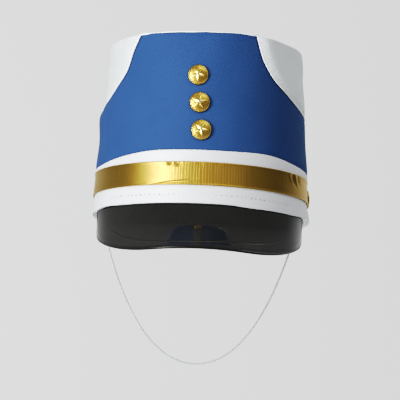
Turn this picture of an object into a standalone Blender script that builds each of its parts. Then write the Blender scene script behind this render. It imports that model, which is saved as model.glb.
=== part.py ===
# Marching band hat: a tall oval cloth crown with a flat top, a blue cloth front edged with
# white piping, a white lower band, a gold ribbon, a moulded peak, five domed buttons and a
# chin elastic that hangs in a loop.
# Metres, +Z up. The origin is the middle of the head opening, level with the lower edge.
# The peak points along -Y. Azimuth 0 is the middle of the front, and grows towards +X.
import math

import bmesh
import bpy
from mathutils import Matrix, Vector

# Crown: a cloth wall on an oval that narrows upwards
CROWN_HEIGHT = 0.1504
RIM_HALF_WIDTH = 0.0950
TOP_HALF_WIDTH = 0.0874
OVAL_RATIO = 1.095
FLARE_POWER = 1.9
CROWN_WALL = 0.0020
CROWN_TOP_THICKNESS = 0.0020
GAP = 0.0003

# Blue panel: its white-piped seam falls from the top edge and runs round the back. The cloth
# is sewn on PANEL_TURN degrees off the front, and SEAM_START and SEAM_END count from there.
PANEL_THICKNESS = 0.0010
SEAM_BACK_HEIGHT = 0.0915
PANEL_TURN = -6.0
SEAM_START = 33.6
SEAM_END = 96.0
PIPING_RADIUS = 0.0009

# The cloth above the seam stands up in a fold beside it, higher on the +X side
FOLD_WIDTH = 0.0170
FOLD_HEIGHT_RIGHT = 0.0018
FOLD_HEIGHT_LEFT = 0.0007
FOLD_FADE_FROM = 60.0
FOLD_FADE_TO = 120.0

# Lower band and the ribbon on it
BAND_THICKNESS = 0.0010
BAND_FRONT_HEIGHT = 0.0475
BAND_BACK_HEIGHT = 0.0425
BAND_FALL_FROM = 35.0
BAND_FALL_TO = 90.0
RIBBON_THICKNESS = 0.0010
RIBBON_WIDTH = 0.0204
RIBBON_LOW_EDGE = 0.0162
RIBBON_END = 101.0

# Peak: a flange inside the crown, then a sheet that slopes down and forward. Its edge rises
# by PEAK_ARCH in the middle, and the sheet sinks by PEAK_HOLLOW between root and edge.
PEAK_THICKNESS = 0.0020
PEAK_HALF_ARC = 70.0
PEAK_FLANGE = 0.0110
PEAK_REACH = 0.0430
PEAK_OVERHANG = 0.0030
PEAK_DROP = 0.0422
PEAK_ARCH = 0.0018
PEAK_ARCH_SPREAD = 0.55
PEAK_CORNER_POWER = 2.8
PEAK_HOLLOW = 0.0024

# Buttons
BUTTON_RADIUS = 0.0088
BUTTON_RIM = 0.0009
BUTTON_DOME = 0.0032
FRONT_BUTTON_LOWEST = 0.0643
FRONT_BUTTON_PITCH = 0.0240
FRONT_BUTTON_AZIMUTH = -1.1
FRONT_BUTTON_LEAN = -1.4
SIDE_BUTTON_AZIMUTH = 98.5
SIDE_BUTTON_HEIGHT = 0.0242

# Chin elastic: it hangs from a knot inside each side of the crown
ELASTIC_DIAMETER = 0.0014
ELASTIC_DROP = 0.1280
ELASTIC_POINTS = 78
KNOT_RADIUS = 0.0022
KNOT_HEIGHT = 0.0050

# Mesh fineness
COLUMNS_ROUND = 72
BAND_ROWS = 2
PEAK_COLUMNS = 44
PEAK_ROWS = 5
BUTTON_STEPS = 24
SHARP_ANGLE = math.radians(40.0)

# The seam beside the front: how far round it is, as a share of the way from SEAM_START to
# SEAM_END, and its height, as a share of the way from SEAM_BACK_HEIGHT to CROWN_HEIGHT
SEAM_TABLE = (
    # round, rise
    (0.000, 1.000),
    (0.045, 0.880),
    (0.095, 0.740),
    (0.140, 0.560),
    (0.195, 0.430),
    (0.285, 0.315),
    (0.410, 0.200),
    (0.570, 0.100),
    (0.760, 0.035),
    (1.000, 0.000),
)

# How the crown's rows crowd along the fold: distance above the seam as a share of
# FOLD_WIDTH, and the most of the room up to the top edge that it may take
FOLD_ROWS = (
    # beyond, room
    (0.26, 0.20),
    (0.55, 0.42),
    (1.00, 0.70),
)


def smooth_step(value, start, end):
    """0 before start, 1 after end, and a smooth rise between them."""
    share = min(max((value - start) / (end - start), 0.0), 1.0)
    return share * share * (3.0 - 2.0 * share)


def signed_azimuth(azimuth):
    """The same direction between -180 and 180 degrees."""
    return (azimuth + 180.0) % 360.0 - 180.0


def half_width(height):
    """Half the crown's width at a height, to the wall's outer face."""
    share = min(max(height / CROWN_HEIGHT, 0.0), 1.0)
    return TOP_HALF_WIDTH + (RIM_HALF_WIDTH - TOP_HALF_WIDTH) * (1.0 - share) ** FLARE_POWER


def oval_point(azimuth, height, outset=0.0):
    """A point that stands outset from the plain oval wall, before any fold."""
    turn = math.radians(azimuth)
    across = half_width(height) + outset
    along = half_width(height) * OVAL_RATIO + outset
    return Vector((across * math.sin(turn), -along * math.cos(turn), height))


def outward(azimuth, height):
    """The direction square to the plain wall, pointing out."""
    step = 0.5
    rise = 0.001
    round_way = oval_point(azimuth + step, height) - oval_point(azimuth - step, height)
    up_way = oval_point(azimuth, height + rise) - oval_point(azimuth, height - rise)
    return round_way.cross(up_way).normalized()


def slope_of(table, index):
    """A slope for one row of a table that keeps the curve through it from overshooting."""
    if index in (0, len(table) - 1):
        first = min(index, len(table) - 2)
        return (table[first + 1][1] - table[first][1]) / (table[first + 1][0] - table[first][0])
    before = (table[index][1] - table[index - 1][1]) / (table[index][0] - table[index - 1][0])
    after = (table[index + 1][1] - table[index][1]) / (table[index + 1][0] - table[index][0])
    if before * after <= 0.0:
        return 0.0
    return 2.0 * before * after / (before + after)


def read_table(table, place):
    """Reads a two-column table at a place in its first column, on a smooth curve."""
    index = 0
    while index < len(table) - 2 and place > table[index + 1][0]:
        index += 1
    low, high = table[index], table[index + 1]
    span = high[0] - low[0]
    share = min(max((place - low[0]) / span, 0.0), 1.0)
    bend_low = slope_of(table, index) * span
    bend_high = slope_of(table, index + 1) * span
    return (
        low[1] * (1.0 + 2.0 * share) * (1.0 - share) ** 2
        + bend_low * share * (1.0 - share) ** 2
        + high[1] * share * share * (3.0 - 2.0 * share)
        + bend_high * share * share * (share - 1.0)
    )


def seam_height(azimuth):
    """Height of the blue panel's upper edge: the top edge in front, a level line behind."""
    side = abs(signed_azimuth(azimuth - PANEL_TURN))
    if side <= SEAM_START + 1e-6:
        return CROWN_HEIGHT
    place = (side - SEAM_START) / (SEAM_END - SEAM_START)
    rise = read_table(SEAM_TABLE, place) if place < 1.0 else 0.0
    return SEAM_BACK_HEIGHT + rise * (CROWN_HEIGHT - SEAM_BACK_HEIGHT)


def band_height(azimuth):
    """Height of the lower band's upper edge."""
    fall = smooth_step(abs(signed_azimuth(azimuth)), BAND_FALL_FROM, BAND_FALL_TO)
    return BAND_FRONT_HEIGHT + (BAND_BACK_HEIGHT - BAND_FRONT_HEIGHT) * fall


def seam_azimuths():
    """Directions round the hat, from one top corner of the blue panel round the back to the other."""
    beside = [SEAM_START + place * (SEAM_END - SEAM_START) for place, _ in SEAM_TABLE]
    halves = []
    for low, high in zip(beside, beside[1:]):
        halves.append(low)
        halves.append((low + high) / 2.0)
    halves.append(beside[-1])
    steps = round(COLUMNS_ROUND * (180.0 - SEAM_END) / 360.0)
    behind = [SEAM_END + (180.0 - SEAM_END) * step / steps for step in range(1, steps)]
    one_side = halves + behind
    whole = one_side + [180.0] + [360.0 - azimuth for azimuth in reversed(one_side)]
    return [azimuth + PANEL_TURN for azimuth in whole]


def all_azimuths():
    """Directions for a whole turn, with columns on both top corners of the blue panel."""
    steps = 2 * round(COLUMNS_ROUND * SEAM_START / 360.0)
    front = [SEAM_START * (2.0 * step / steps - 1.0) + PANEL_TURN for step in range(1, steps)]
    return front + seam_azimuths()


SEAM_LINE = [oval_point(azimuth, seam_height(azimuth)) for azimuth in seam_azimuths()]


def distance_to_seam(point):
    """Shortest distance from a point to the seam's line."""
    nearest = math.inf
    for start, end in zip(SEAM_LINE, SEAM_LINE[1:]):
        way = end - start
        share = min(max((point - start).dot(way) / way.length_squared, 0.0), 1.0)
        nearest = min(nearest, (point - start - way * share).length)
    return nearest


def fold_relief(azimuth, height):
    """How far the cloth above the seam stands out in its fold."""
    if height <= seam_height(azimuth):
        return 0.0
    side = signed_azimuth(azimuth - PANEL_TURN)
    crest = FOLD_HEIGHT_RIGHT if side > 0.0 else FOLD_HEIGHT_LEFT
    fade = 1.0 - smooth_step(abs(side), FOLD_FADE_FROM, FOLD_FADE_TO)
    place = distance_to_seam(oval_point(azimuth, height)) / FOLD_WIDTH
    rise = smooth_step(place, 0.0, 0.55) * (1.0 - smooth_step(place, 0.55, 1.6))
    return crest * fade * rise


def folded_point(azimuth, height):
    """A point of the crown's outer face, folds included."""
    return oval_point(azimuth, height, fold_relief(azimuth, height))


def make_material(name, colour, roughness, metallic=0.0):
    """A plain surface finish."""
    material = bpy.data.materials.new(name)
    material.use_nodes = True
    shader = material.node_tree.nodes["Principled BSDF"]
    shader.inputs["Base Color"].default_value = (*colour, 1.0)
    shader.inputs["Roughness"].default_value = roughness
    shader.inputs["Metallic"].default_value = metallic
    material.diffuse_color = (*colour, 1.0)
    return material


def add_object(name, data, collection, parent, material, placement=None):
    """Puts a mesh or curve in the collection, under the hat's empty, with its finish."""
    data.materials.append(material)
    thing = bpy.data.objects.new(name, data)
    collection.objects.link(thing)
    thing.parent = parent
    if placement is not None:
        thing.matrix_world = placement
    return thing


def grid_mesh(name, rows, closed=False):
    """A surface through rows of points. It faces along the row crossed with the way to the next."""
    build = bmesh.new()
    lines = [[build.verts.new(point) for point in row] for row in rows]
    for low, high in zip(lines, lines[1:]):
        count = len(low)
        for place in range(count if closed else count - 1):
            after = (place + 1) % count
            build.faces.new((low[place], low[after], high[after], high[place]))
    bmesh.ops.remove_doubles(build, verts=build.verts, dist=1e-6)
    mesh = bpy.data.meshes.new(name)
    build.to_mesh(mesh)
    build.free()
    mesh.shade_smooth()
    mesh.set_sharp_from_angle(angle=SHARP_ANGLE)
    return mesh


def add_wall(thing, thickness):
    """Gives an open surface its thickness, inward from the face that was modelled."""
    shell = thing.modifiers.new("wall", "SOLIDIFY")
    shell.thickness = thickness
    shell.offset = -1.0
    shell.use_even_offset = True


def crown_heights(azimuth):
    """Heights of one column of the crown: even up to the seam, crowded along the fold."""
    seam = seam_height(azimuth)
    room = CROWN_HEIGHT - seam
    below = [seam * share for share in (0.0, 0.25, 0.5, 0.75, 1.0)]
    above = [seam + min(beyond * FOLD_WIDTH, share * room) for beyond, share in FOLD_ROWS]
    return below + above + [CROWN_HEIGHT]


def make_crown(hat):
    """The white cloth wall, open below, on the oval of the head."""
    columns = [
        [folded_point(azimuth, height) for height in crown_heights(azimuth)]
        for azimuth in all_azimuths()
    ]
    rows = [list(row) for row in zip(*columns)]
    crown = add_object("crown", grid_mesh("crown", rows, closed=True), *hat, finishes["white cloth"])
    add_wall(crown, CROWN_WALL)


def make_crown_top(hat):
    """The flat oval top, set inside the wall and level with its upper edge."""
    inset = -(CROWN_WALL + GAP)
    outline = [oval_point(azimuth, CROWN_HEIGHT, inset) for azimuth in all_azimuths()]
    curve = bpy.data.curves.new("crown_top", "CURVE")
    curve.dimensions = "2D"
    curve.fill_mode = "BOTH"
    curve.extrude = CROWN_TOP_THICKNESS / 2.0
    spline = curve.splines.new("POLY")
    spline.points.add(len(outline) - 1)
    for knot, point in zip(spline.points, outline):
        knot.co = (point.x, point.y, 0.0, 1.0)
    spline.use_cyclic_u = True
    placement = Matrix.Translation((0.0, 0.0, CROWN_HEIGHT - CROWN_TOP_THICKNESS / 2.0))
    add_object("crown_top", curve, *hat, finishes["white cloth"], placement)


def make_blue_panel(hat):
    """The blue cloth on the crown, from the lower band up to the seam."""
    outset = GAP + PANEL_THICKNESS
    rows = []
    for share in (0.0, 0.25, 0.5, 0.75, 1.0):
        row = []
        for azimuth in all_azimuths():
            low = band_height(azimuth) + GAP
            height = low + (seam_height(azimuth) - low) * share
            row.append(oval_point(azimuth, height, outset))
        rows.append(row)
    mesh = grid_mesh("blue_panel", rows, closed=True)
    panel = add_object("blue_panel", mesh, *hat, finishes["blue twill"])
    add_wall(panel, PANEL_THICKNESS)


def make_tube(name, path, radius, hat, material):
    """A round cord along a path, with closed ends."""
    curve = bpy.data.curves.new(name, "CURVE")
    curve.dimensions = "3D"
    curve.bevel_depth = radius
    curve.bevel_resolution = 2
    curve.use_fill_caps = True
    spline = curve.splines.new("POLY")
    spline.points.add(len(path) - 1)
    for knot, point in zip(spline.points, path):
        knot.co = (*point, 1.0)
    add_object(name, curve, *hat, material)


def make_piping(hat):
    """The white cord that edges the blue panel, from one top corner round the back to the other."""
    beside = GAP + PIPING_RADIUS
    azimuths = seam_azimuths()
    path = []
    for index, azimuth in enumerate(azimuths):
        before = azimuths[max(index - 1, 0)]
        after = azimuths[min(index + 1, len(azimuths) - 1)]
        along = oval_point(after, seam_height(after)) - oval_point(before, seam_height(before))
        here = oval_point(azimuth, seam_height(azimuth))
        square = outward(azimuth, here.z)
        away = square.cross(along).normalized()
        if away.z < 0.0:
            away = -away
        lift = GAP + PIPING_RADIUS
        point = here + away * beside + square * lift
        too_high = point.z - (CROWN_HEIGHT - PIPING_RADIUS)
        if too_high > 0.0:
            point -= along * (too_high / along.z)
        path.append(point)
    make_tube("white_piping", path, PIPING_RADIUS, hat, finishes["white cloth"])


def make_lower_band(hat):
    """The white strip round the foot of the crown."""
    outset = GAP + BAND_THICKNESS
    rows = []
    for step in range(BAND_ROWS + 1):
        share = step / BAND_ROWS
        rows.append([
            oval_point(azimuth, band_height(azimuth) * share, outset)
            for azimuth in all_azimuths()
        ])
    mesh = grid_mesh("lower_band", rows, closed=True)
    band = add_object("lower_band", mesh, *hat, finishes["white leatherette"])
    add_wall(band, BAND_THICKNESS)


def make_ribbon(hat):
    """The gold ribbon across the front, with its ends under the side buttons."""
    outset = GAP + BAND_THICKNESS + GAP + RIBBON_THICKNESS
    steps = round(COLUMNS_ROUND * RIBBON_END / 180.0)
    azimuths = [RIBBON_END * (2.0 * step / steps - 1.0) for step in range(steps + 1)]
    rows = [
        [oval_point(azimuth, RIBBON_LOW_EDGE + RIBBON_WIDTH * share, outset) for azimuth in azimuths]
        for share in (0.0, 0.5, 1.0)
    ]
    ribbon = add_object("gold_ribbon", grid_mesh("gold_ribbon", rows), *hat, finishes["gold ribbon"])
    add_wall(ribbon, RIBBON_THICKNESS)


def peak_fall(share):
    """Share of the peak's drop along its edge: full in front, none where the edge meets the rim."""
    return (1.0 - abs(share) ** PEAK_CORNER_POWER) ** (1.0 / PEAK_CORNER_POWER)


def peak_root(share, height):
    """A point of the peak against the inner face of the crown; share runs from -1 to 1."""
    return oval_point(share * PEAK_HALF_ARC, height, -(CROWN_WALL + GAP))


def peak_edge(share):
    """A point of the peak's outer edge: a half oval in plan that drops towards the front."""
    end = peak_root(1.0, 0.0)
    reach = PEAK_REACH + CROWN_WALL + GAP
    across = end.x + PEAK_OVERHANG
    forward = -peak_root(0.0, 0.0).y + reach + end.y
    turn = math.radians(90.0) * share
    arch = PEAK_ARCH * (1.0 - smooth_step(abs(share), 0.0, PEAK_ARCH_SPREAD))
    return Vector((
        across * math.sin(turn),
        end.y - forward * math.cos(turn),
        arch - GAP - PEAK_DROP * peak_fall(share),
    ))


def make_peak(hat):
    """The moulded peak: its flange stands inside the crown and its sheet slopes down and forward."""
    shares = [
        math.sin(math.radians(90.0) * (2.0 * step / PEAK_COLUMNS - 1.0))
        for step in range(PEAK_COLUMNS + 1)
    ]
    rows = []
    for step in range(PEAK_ROWS, -1, -1):
        way = step / PEAK_ROWS
        row = []
        for share in shares:
            point = peak_root(share, -GAP).lerp(peak_edge(share), way)
            point.z -= 4.0 * PEAK_HOLLOW * way * (1.0 - way) * peak_fall(share)
            row.append(point)
        rows.append(row)
    rows.append([peak_root(share, PEAK_FLANGE) for share in shares])
    peak = add_object("peak", grid_mesh("peak", rows), *hat, finishes["black plastic"])
    add_wall(peak, PEAK_THICKNESS)


def button_mesh():
    """A domed button about its own Z axis, with its back at zero: half a section, turned round."""
    steps = 5
    section = [(0.0, BUTTON_RIM + BUTTON_DOME)]
    for step in range(1, steps + 1):
        turn = math.radians(90.0) * step / steps
        section.append((BUTTON_RADIUS * math.sin(turn), BUTTON_RIM + BUTTON_DOME * math.cos(turn)))
    section.append((BUTTON_RADIUS, 0.0))
    section.append((0.0, 0.0))
    mesh = bpy.data.meshes.new("button")
    mesh.from_pydata([(across, 0.0, up) for across, up in section],
                     [(index, index + 1) for index in range(len(section) - 1)], [])
    return mesh


def make_button(name, azimuth, height, outset, hat):
    """One domed button, flat against the face that stands outset from the wall."""
    square = outward(azimuth, height)
    place = oval_point(azimuth, height, outset + GAP)
    placement = Matrix.Translation(place) @ square.to_track_quat("Z", "Y").to_matrix().to_4x4()
    button = add_object(name, button_mesh(), *hat, finishes["gold metal"], placement)
    turned = button.modifiers.new("turned", "SCREW")
    turned.axis = "Z"
    turned.steps = BUTTON_STEPS
    turned.render_steps = BUTTON_STEPS
    turned.use_merge_vertices = True
    turned.merge_threshold = 1e-5
    turned.use_smooth_shade = True


def make_buttons(hat):
    """Three buttons up the blue front in a slightly leaning row, and one over each ribbon end."""
    for step, name in enumerate(("button_lower", "button_middle", "button_upper")):
        azimuth = FRONT_BUTTON_AZIMUTH + FRONT_BUTTON_LEAN * step
        height = FRONT_BUTTON_LOWEST + FRONT_BUTTON_PITCH * step
        make_button(name, azimuth, height, GAP + PANEL_THICKNESS, hat)
    on_ribbon = GAP + BAND_THICKNESS + GAP + RIBBON_THICKNESS
    make_button("side_button_right", SIDE_BUTTON_AZIMUTH, SIDE_BUTTON_HEIGHT, on_ribbon, hat)
    make_button("side_button_left", -SIDE_BUTTON_AZIMUTH, SIDE_BUTTON_HEIGHT, on_ribbon, hat)


def knot_centre(side):
    """Middle of a knot inside the crown; side is 1 for +X and -1 for -X."""
    inset = -(CROWN_WALL + GAP + KNOT_RADIUS)
    return oval_point(side * SIDE_BUTTON_AZIMUTH, KNOT_HEIGHT, inset)


def make_knot(name, side, hat):
    """The knot that holds one end of the elastic."""
    build = bmesh.new()
    bmesh.ops.create_uvsphere(build, u_segments=10, v_segments=6, radius=KNOT_RADIUS)
    mesh = bpy.data.meshes.new(name)
    build.to_mesh(mesh)
    build.free()
    mesh.shade_smooth()
    placement = Matrix.Translation(knot_centre(side))
    add_object(name, mesh, *hat, finishes["elastic"], placement)


def hanging_path(left, right, drop, count):
    """Evenly spaced points of a slack line between two level points: a catenary of that drop."""
    half_span = (right - left).length / 2.0
    low, high = half_span / 50.0, half_span * 50.0
    for _ in range(80):
        size = (low + high) / 2.0
        if size * (math.cosh(half_span / size) - 1.0) > drop:
            low = size
        else:
            high = size
    half_length = size * math.sinh(half_span / size)
    middle = (left + right) / 2.0
    across = (right - left).normalized()
    path = []
    for step in range(count):
        along = half_length * (2.0 * step / (count - 1) - 1.0)
        sideways = size * math.asinh(along / size)
        sink = drop - size * (math.cosh(sideways / size) - 1.0)
        path.append(middle + across * sideways - Vector((0.0, 0.0, sink)))
    return path


def make_elastic(hat):
    """The chin elastic, hanging in a loop from the two knots."""
    below = Vector((0.0, 0.0, KNOT_RADIUS + GAP))
    left = knot_centre(-1) - below
    right = knot_centre(1) - below
    drop = ELASTIC_DROP + left.z
    path = hanging_path(left, right, drop, ELASTIC_POINTS)
    make_tube("chin_elastic", path, ELASTIC_DIAMETER / 2.0, hat, finishes["elastic"])


for leftover in list(bpy.data.objects):
    bpy.data.objects.remove(leftover, do_unlink=True)

collection = bpy.data.collections.new("marching_band_hat")
bpy.context.scene.collection.children.link(collection)
hat_origin = bpy.data.objects.new("hat_origin", None)
collection.objects.link(hat_origin)

finishes = {
    "white cloth": make_material("white cloth", (0.80, 0.82, 0.84), 0.55),
    "blue twill": make_material("blue twill", (0.045, 0.140, 0.380), 0.75),
    "white leatherette": make_material("white leatherette", (0.83, 0.84, 0.87), 0.45),
    "gold ribbon": make_material("gold ribbon", (0.60, 0.40, 0.08), 0.35, 1.0),
    "black plastic": make_material("black plastic", (0.015, 0.015, 0.014), 0.12),
    "gold metal": make_material("gold metal", (0.78, 0.55, 0.14), 0.22, 1.0),
    "elastic": make_material("elastic", (0.55, 0.56, 0.57), 0.50),
}

the_hat = (collection, hat_origin)
make_crown(the_hat)
make_crown_top(the_hat)
make_blue_panel(the_hat)
make_piping(the_hat)
make_lower_band(the_hat)
make_ribbon(the_hat)
make_peak(the_hat)
make_buttons(the_hat)
make_knot("strap_knot_left", -1, the_hat)
make_knot("strap_knot_right", 1, the_hat)
make_elastic(the_hat)
bpy.context.view_layer.update()
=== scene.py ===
# %% [markdown]
# # A marching band hat
# This lesson dresses a tall oval band hat: white cloth above, blue twill in front, a white
# leatherette band, gold ribbon, gilt buttons, a glossy black peak and an elastic under the chin.
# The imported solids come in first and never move. Each dressed piece then takes the place of
# one of them, so every length below is the one that the solids were made with, in metres.

# %% Bring in the fixed solids
import math

import bmesh
import bpy
import numpy as np
from mathutils import Matrix, Vector


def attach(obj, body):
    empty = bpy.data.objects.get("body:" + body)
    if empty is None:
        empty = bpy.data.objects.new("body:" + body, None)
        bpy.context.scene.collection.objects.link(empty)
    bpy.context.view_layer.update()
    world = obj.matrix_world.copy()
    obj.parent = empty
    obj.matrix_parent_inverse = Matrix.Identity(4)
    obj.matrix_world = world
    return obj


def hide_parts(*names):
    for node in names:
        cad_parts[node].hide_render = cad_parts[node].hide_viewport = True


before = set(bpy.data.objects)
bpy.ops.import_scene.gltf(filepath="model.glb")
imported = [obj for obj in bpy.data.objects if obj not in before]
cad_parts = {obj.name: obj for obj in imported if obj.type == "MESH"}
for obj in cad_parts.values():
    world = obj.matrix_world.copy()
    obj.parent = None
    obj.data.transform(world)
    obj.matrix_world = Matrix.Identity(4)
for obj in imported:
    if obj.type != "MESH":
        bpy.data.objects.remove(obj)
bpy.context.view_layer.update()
print("solids:", len(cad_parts), "nodes:", ", ".join(sorted(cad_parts)))

# %% The sizes that the solids were made with
CROWN_HEIGHT = 0.1504
RIM_HALF_WIDTH = 0.0950
TOP_HALF_WIDTH = 0.0874
OVAL_RATIO = 1.095
FLARE_POWER = 1.9
CROWN_WALL = 0.0020
TOP_THICKNESS = 0.0020
GAP = 0.0003
CLOTH = 0.0010
PANEL_FACE = GAP + CLOTH
RIBBON_FACE = 2.0 * (GAP + CLOTH)
print("crown:", round(2000 * RIM_HALF_WIDTH), "mm wide,", round(1000 * CROWN_HEIGHT), "mm tall")

# %% [markdown]
# The photographer stood two metres away and a little below the rim, so the underside of the
# peak hides and the crown leans by the camera's own tilt. A long lens keeps the sides parallel.
# The camera comes first, because everything else is judged through it.

# %% Camera
CAMERA_DISTANCE = 2.0
CAMERA_ELEVATION = math.radians(-7.3)
CAMERA_ROLL = math.radians(2.3)
MM_PER_PIXEL = 0.893
PIXELS_ACROSS = 400
RIM_CENTRE_PIXEL = (199.73, 219.64)

towards_camera = Vector((0.0, -math.cos(CAMERA_ELEVATION), math.sin(CAMERA_ELEVATION)))
level_right = Vector((0.0, 0.0, 1.0)).cross(towards_camera).normalized()
level_up = towards_camera.cross(level_right)
camera_right = level_right * math.cos(CAMERA_ROLL) + level_up * math.sin(CAMERA_ROLL)
camera_up = level_up * math.cos(CAMERA_ROLL) - level_right * math.sin(CAMERA_ROLL)

camera_data = bpy.data.cameras.new("camera")
camera_data.sensor_width = 36.0
frame_width = MM_PER_PIXEL * PIXELS_ACROSS / 1000.0
camera_data.lens = camera_data.sensor_width * CAMERA_DISTANCE / frame_width
camera_data.shift_x = (PIXELS_ACROSS / 2 - RIM_CENTRE_PIXEL[0]) / PIXELS_ACROSS
camera_data.shift_y = (RIM_CENTRE_PIXEL[1] - PIXELS_ACROSS / 2) / PIXELS_ACROSS
camera = bpy.data.objects.new("camera", camera_data)
bpy.context.scene.collection.objects.link(camera)
turned = Matrix((camera_right, camera_up, towards_camera)).transposed().to_4x4()
camera.matrix_world = Matrix.Translation(towards_camera * CAMERA_DISTANCE) @ turned
bpy.context.scene.camera = camera
print("camera: lens", round(camera_data.lens, 1), "mm, from", tuple(round(v, 3) for v in camera.location))

# %% [markdown]
# ## Where things lie on the crown
# Every soft piece lies on the same oval wall. A place on it is an azimuth in degrees, 0 in the
# middle of the front and growing towards +X, and a height. One function turns a whole array of
# such places into points, so each piece can be written as a rule instead of a list of corners.

# %% Points on the oval wall
def smooth_step(value, start, end):
    """0 before start, 1 after end, and a smooth rise between them."""
    share = np.clip((value - start) / (end - start), 0.0, 1.0)
    return share * share * (3.0 - 2.0 * share)


def hump(value, middle, spread):
    """A bell-shaped rise around the middle."""
    return np.exp(-(((value - middle) / spread) ** 2))


def between(value, start, full, fading, gone):
    """A smooth rise from start to full, and a smooth fall from fading to gone."""
    return smooth_step(value, start, full) * (1.0 - smooth_step(value, fading, gone))


def levels(*stretches):
    """Even steps over stretches that follow each other, each a start, an end and a count."""
    return np.concatenate([np.linspace(*stretch)[min(order, 1):] for order, stretch in enumerate(stretches)])


def half_width(height):
    """Half the crown's width at a height."""
    share = np.clip(height / CROWN_HEIGHT, 0.0, 1.0)
    return TOP_HALF_WIDTH + (RIM_HALF_WIDTH - TOP_HALF_WIDTH) * (1.0 - share) ** FLARE_POWER


def wall_points(azimuth, height, outset):
    """Points that stand outset from the crown's outer face."""
    azimuth, height, outset = np.broadcast_arrays(azimuth, height, outset)
    turn = np.radians(azimuth)
    across = half_width(height) + outset
    along = half_width(height) * OVAL_RATIO + outset
    return np.stack([across * np.sin(turn), -along * np.cos(turn), height], axis=-1)


def wall_outward(azimuth, height):
    """The direction square to the wall at one place, pointing out."""
    left, right = wall_points(np.array([azimuth - 0.5, azimuth + 0.5]), height, 0.0)
    low, high = wall_points(azimuth, np.array([height - 0.001, height + 0.001]), 0.0)
    return Vector(np.cross(right - left, high - low)).normalized()


METRES_PER_DEGREE = math.pi * RIM_HALF_WIDTH * (1.0 + OVAL_RATIO) / 360.0
print("one degree round the rim:", round(1000 * METRES_PER_DEGREE, 2), "mm")

# %% [markdown]
# The blue cloth ends in a seam that runs along the top edge in front, dives at both sides, and
# goes level round the back. It isn't quite the same on the two sides, so each side has a short
# table of its own, and a smooth reading fills it in.

# %% The seam between blue and white
SEAM_BACK_HEIGHT = 0.0915
PANEL_TURN = -5.5
SEAM_START = 34.1
SEAM_END = 96.0
SEAM_ROUND = np.array([0.0, 0.045, 0.095, 0.140, 0.195, 0.285, 0.410, 0.570, 0.760, 1.0])
SEAM_RISE = np.array([1.0, 0.880, 0.740, 0.560, 0.430, 0.315, 0.200, 0.100, 0.035, 0.0])
SEAM_RIGHT_AT = np.array([28.6, 30.0, 32.0, 34.0, 37.0, 41.0, 46.0, 52.0, 60.0, 72.0, 90.0])
SEAM_RIGHT_HEIGHT = np.array([
    0.1520, 0.1455, 0.1370, 0.1300, 0.1235, 0.1165, 0.1110, 0.1060, 0.1005, 0.0950, 0.0915])


def read_smoothly(places, values, wanted):
    """Reads a table on a curve that bends smoothly and never overshoots."""
    steps = np.diff(places)
    slopes = np.diff(values) / steps
    bends = np.concatenate([
        slopes[:1],
        2.0 * slopes[:-1] * slopes[1:] / (slopes[:-1] + slopes[1:]),
        slopes[-1:],
    ])
    index = np.clip(np.searchsorted(places, wanted) - 1, 0, len(steps) - 1)
    share = np.clip((wanted - places[index]) / steps[index], 0.0, 1.0)
    low, high = values[index], values[index + 1]
    bend_low, bend_high = bends[index] * steps[index], bends[index + 1] * steps[index]
    return (
        low * (1.0 + 2.0 * share) * (1.0 - share) ** 2
        + bend_low * share * (1.0 - share) ** 2
        + high * share * share * (3.0 - 2.0 * share)
        + bend_high * share * share * (share - 1.0)
    )


def signed_azimuth(azimuth):
    """The same direction between -180 and 180 degrees."""
    return (azimuth + 180.0) % 360.0 - 180.0


def seam_drift(azimuth):
    """How many degrees the left seam was pulled sideways when the cloth was stretched."""
    return 2.5 * hump(signed_azimuth(azimuth), -69.0, 8.5)


def top_lift(azimuth):
    """The cloth's top edge stands a little higher in front, most of all on the right."""
    around = signed_azimuth(azimuth)
    front = 0.0006 * (1.0 - smooth_step(np.abs(around), 42.0, 75.0))
    right = 0.0011 * smooth_step(around, 2.0, 24.0) - 0.0016 * smooth_step(around, 28.2, 34.0)
    return front + right + 0.0005 * smooth_step(around, 50.0, 75.0)


def seam_height(azimuth):
    """Height of the blue panel's upper edge."""
    side = np.abs(signed_azimuth(azimuth - seam_drift(azimuth) - PANEL_TURN))
    place = (side - SEAM_START) / (SEAM_END - SEAM_START)
    rise = read_smoothly(SEAM_ROUND, SEAM_RISE, np.clip(place, 0.0, 1.0))
    top = CROWN_HEIGHT + top_lift(azimuth)
    on_left = SEAM_BACK_HEIGHT + rise * (top - SEAM_BACK_HEIGHT)
    around = signed_azimuth(azimuth)
    on_right = read_smoothly(
        SEAM_RIGHT_AT, SEAM_RIGHT_HEIGHT, np.clip(around, SEAM_RIGHT_AT[0], SEAM_RIGHT_AT[-1]))
    on_right = np.where(around < SEAM_RIGHT_AT[0], top, np.minimum(on_right, CROWN_HEIGHT + 0.0017))
    return np.where(around > 0.0, on_right, on_left)


beside_seam = PANEL_TURN + levels(
    (SEAM_START, 60.0, 90), (60.0, 300.0, 200), (300.0, 360.0 - SEAM_START, 90))
seam_line = wall_points(beside_seam, seam_height(beside_seam), 0.0)
print("seam:", round(float(np.linalg.norm(np.diff(seam_line, axis=0), axis=1).sum()), 3), "m long")


def distance_to_seam(points):
    """Shortest distance from each point to the seam's line."""
    flat = points.reshape(-1, 3)
    nearest = np.full(len(flat), np.inf)
    for start, end in zip(seam_line, seam_line[1:]):
        way = end - start
        share = np.clip((flat - start) @ way / (way @ way), 0.0, 1.0)
        gap = np.linalg.norm(flat - start - share[:, None] * way, axis=1)
        nearest = np.minimum(nearest, gap)
    return nearest.reshape(points.shape[:-1])


# %% [markdown]
# ## From rows of points to a closed mesh
# Cloth has two faces and soft edges. A closed wall is a section, up the outer face, over a
# rounded edge, down the inner face and back, that is carried round the oval. Each vertex also
# gets a place in a flat map in metres, so that threads run round the hat as they do in cloth.

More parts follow.
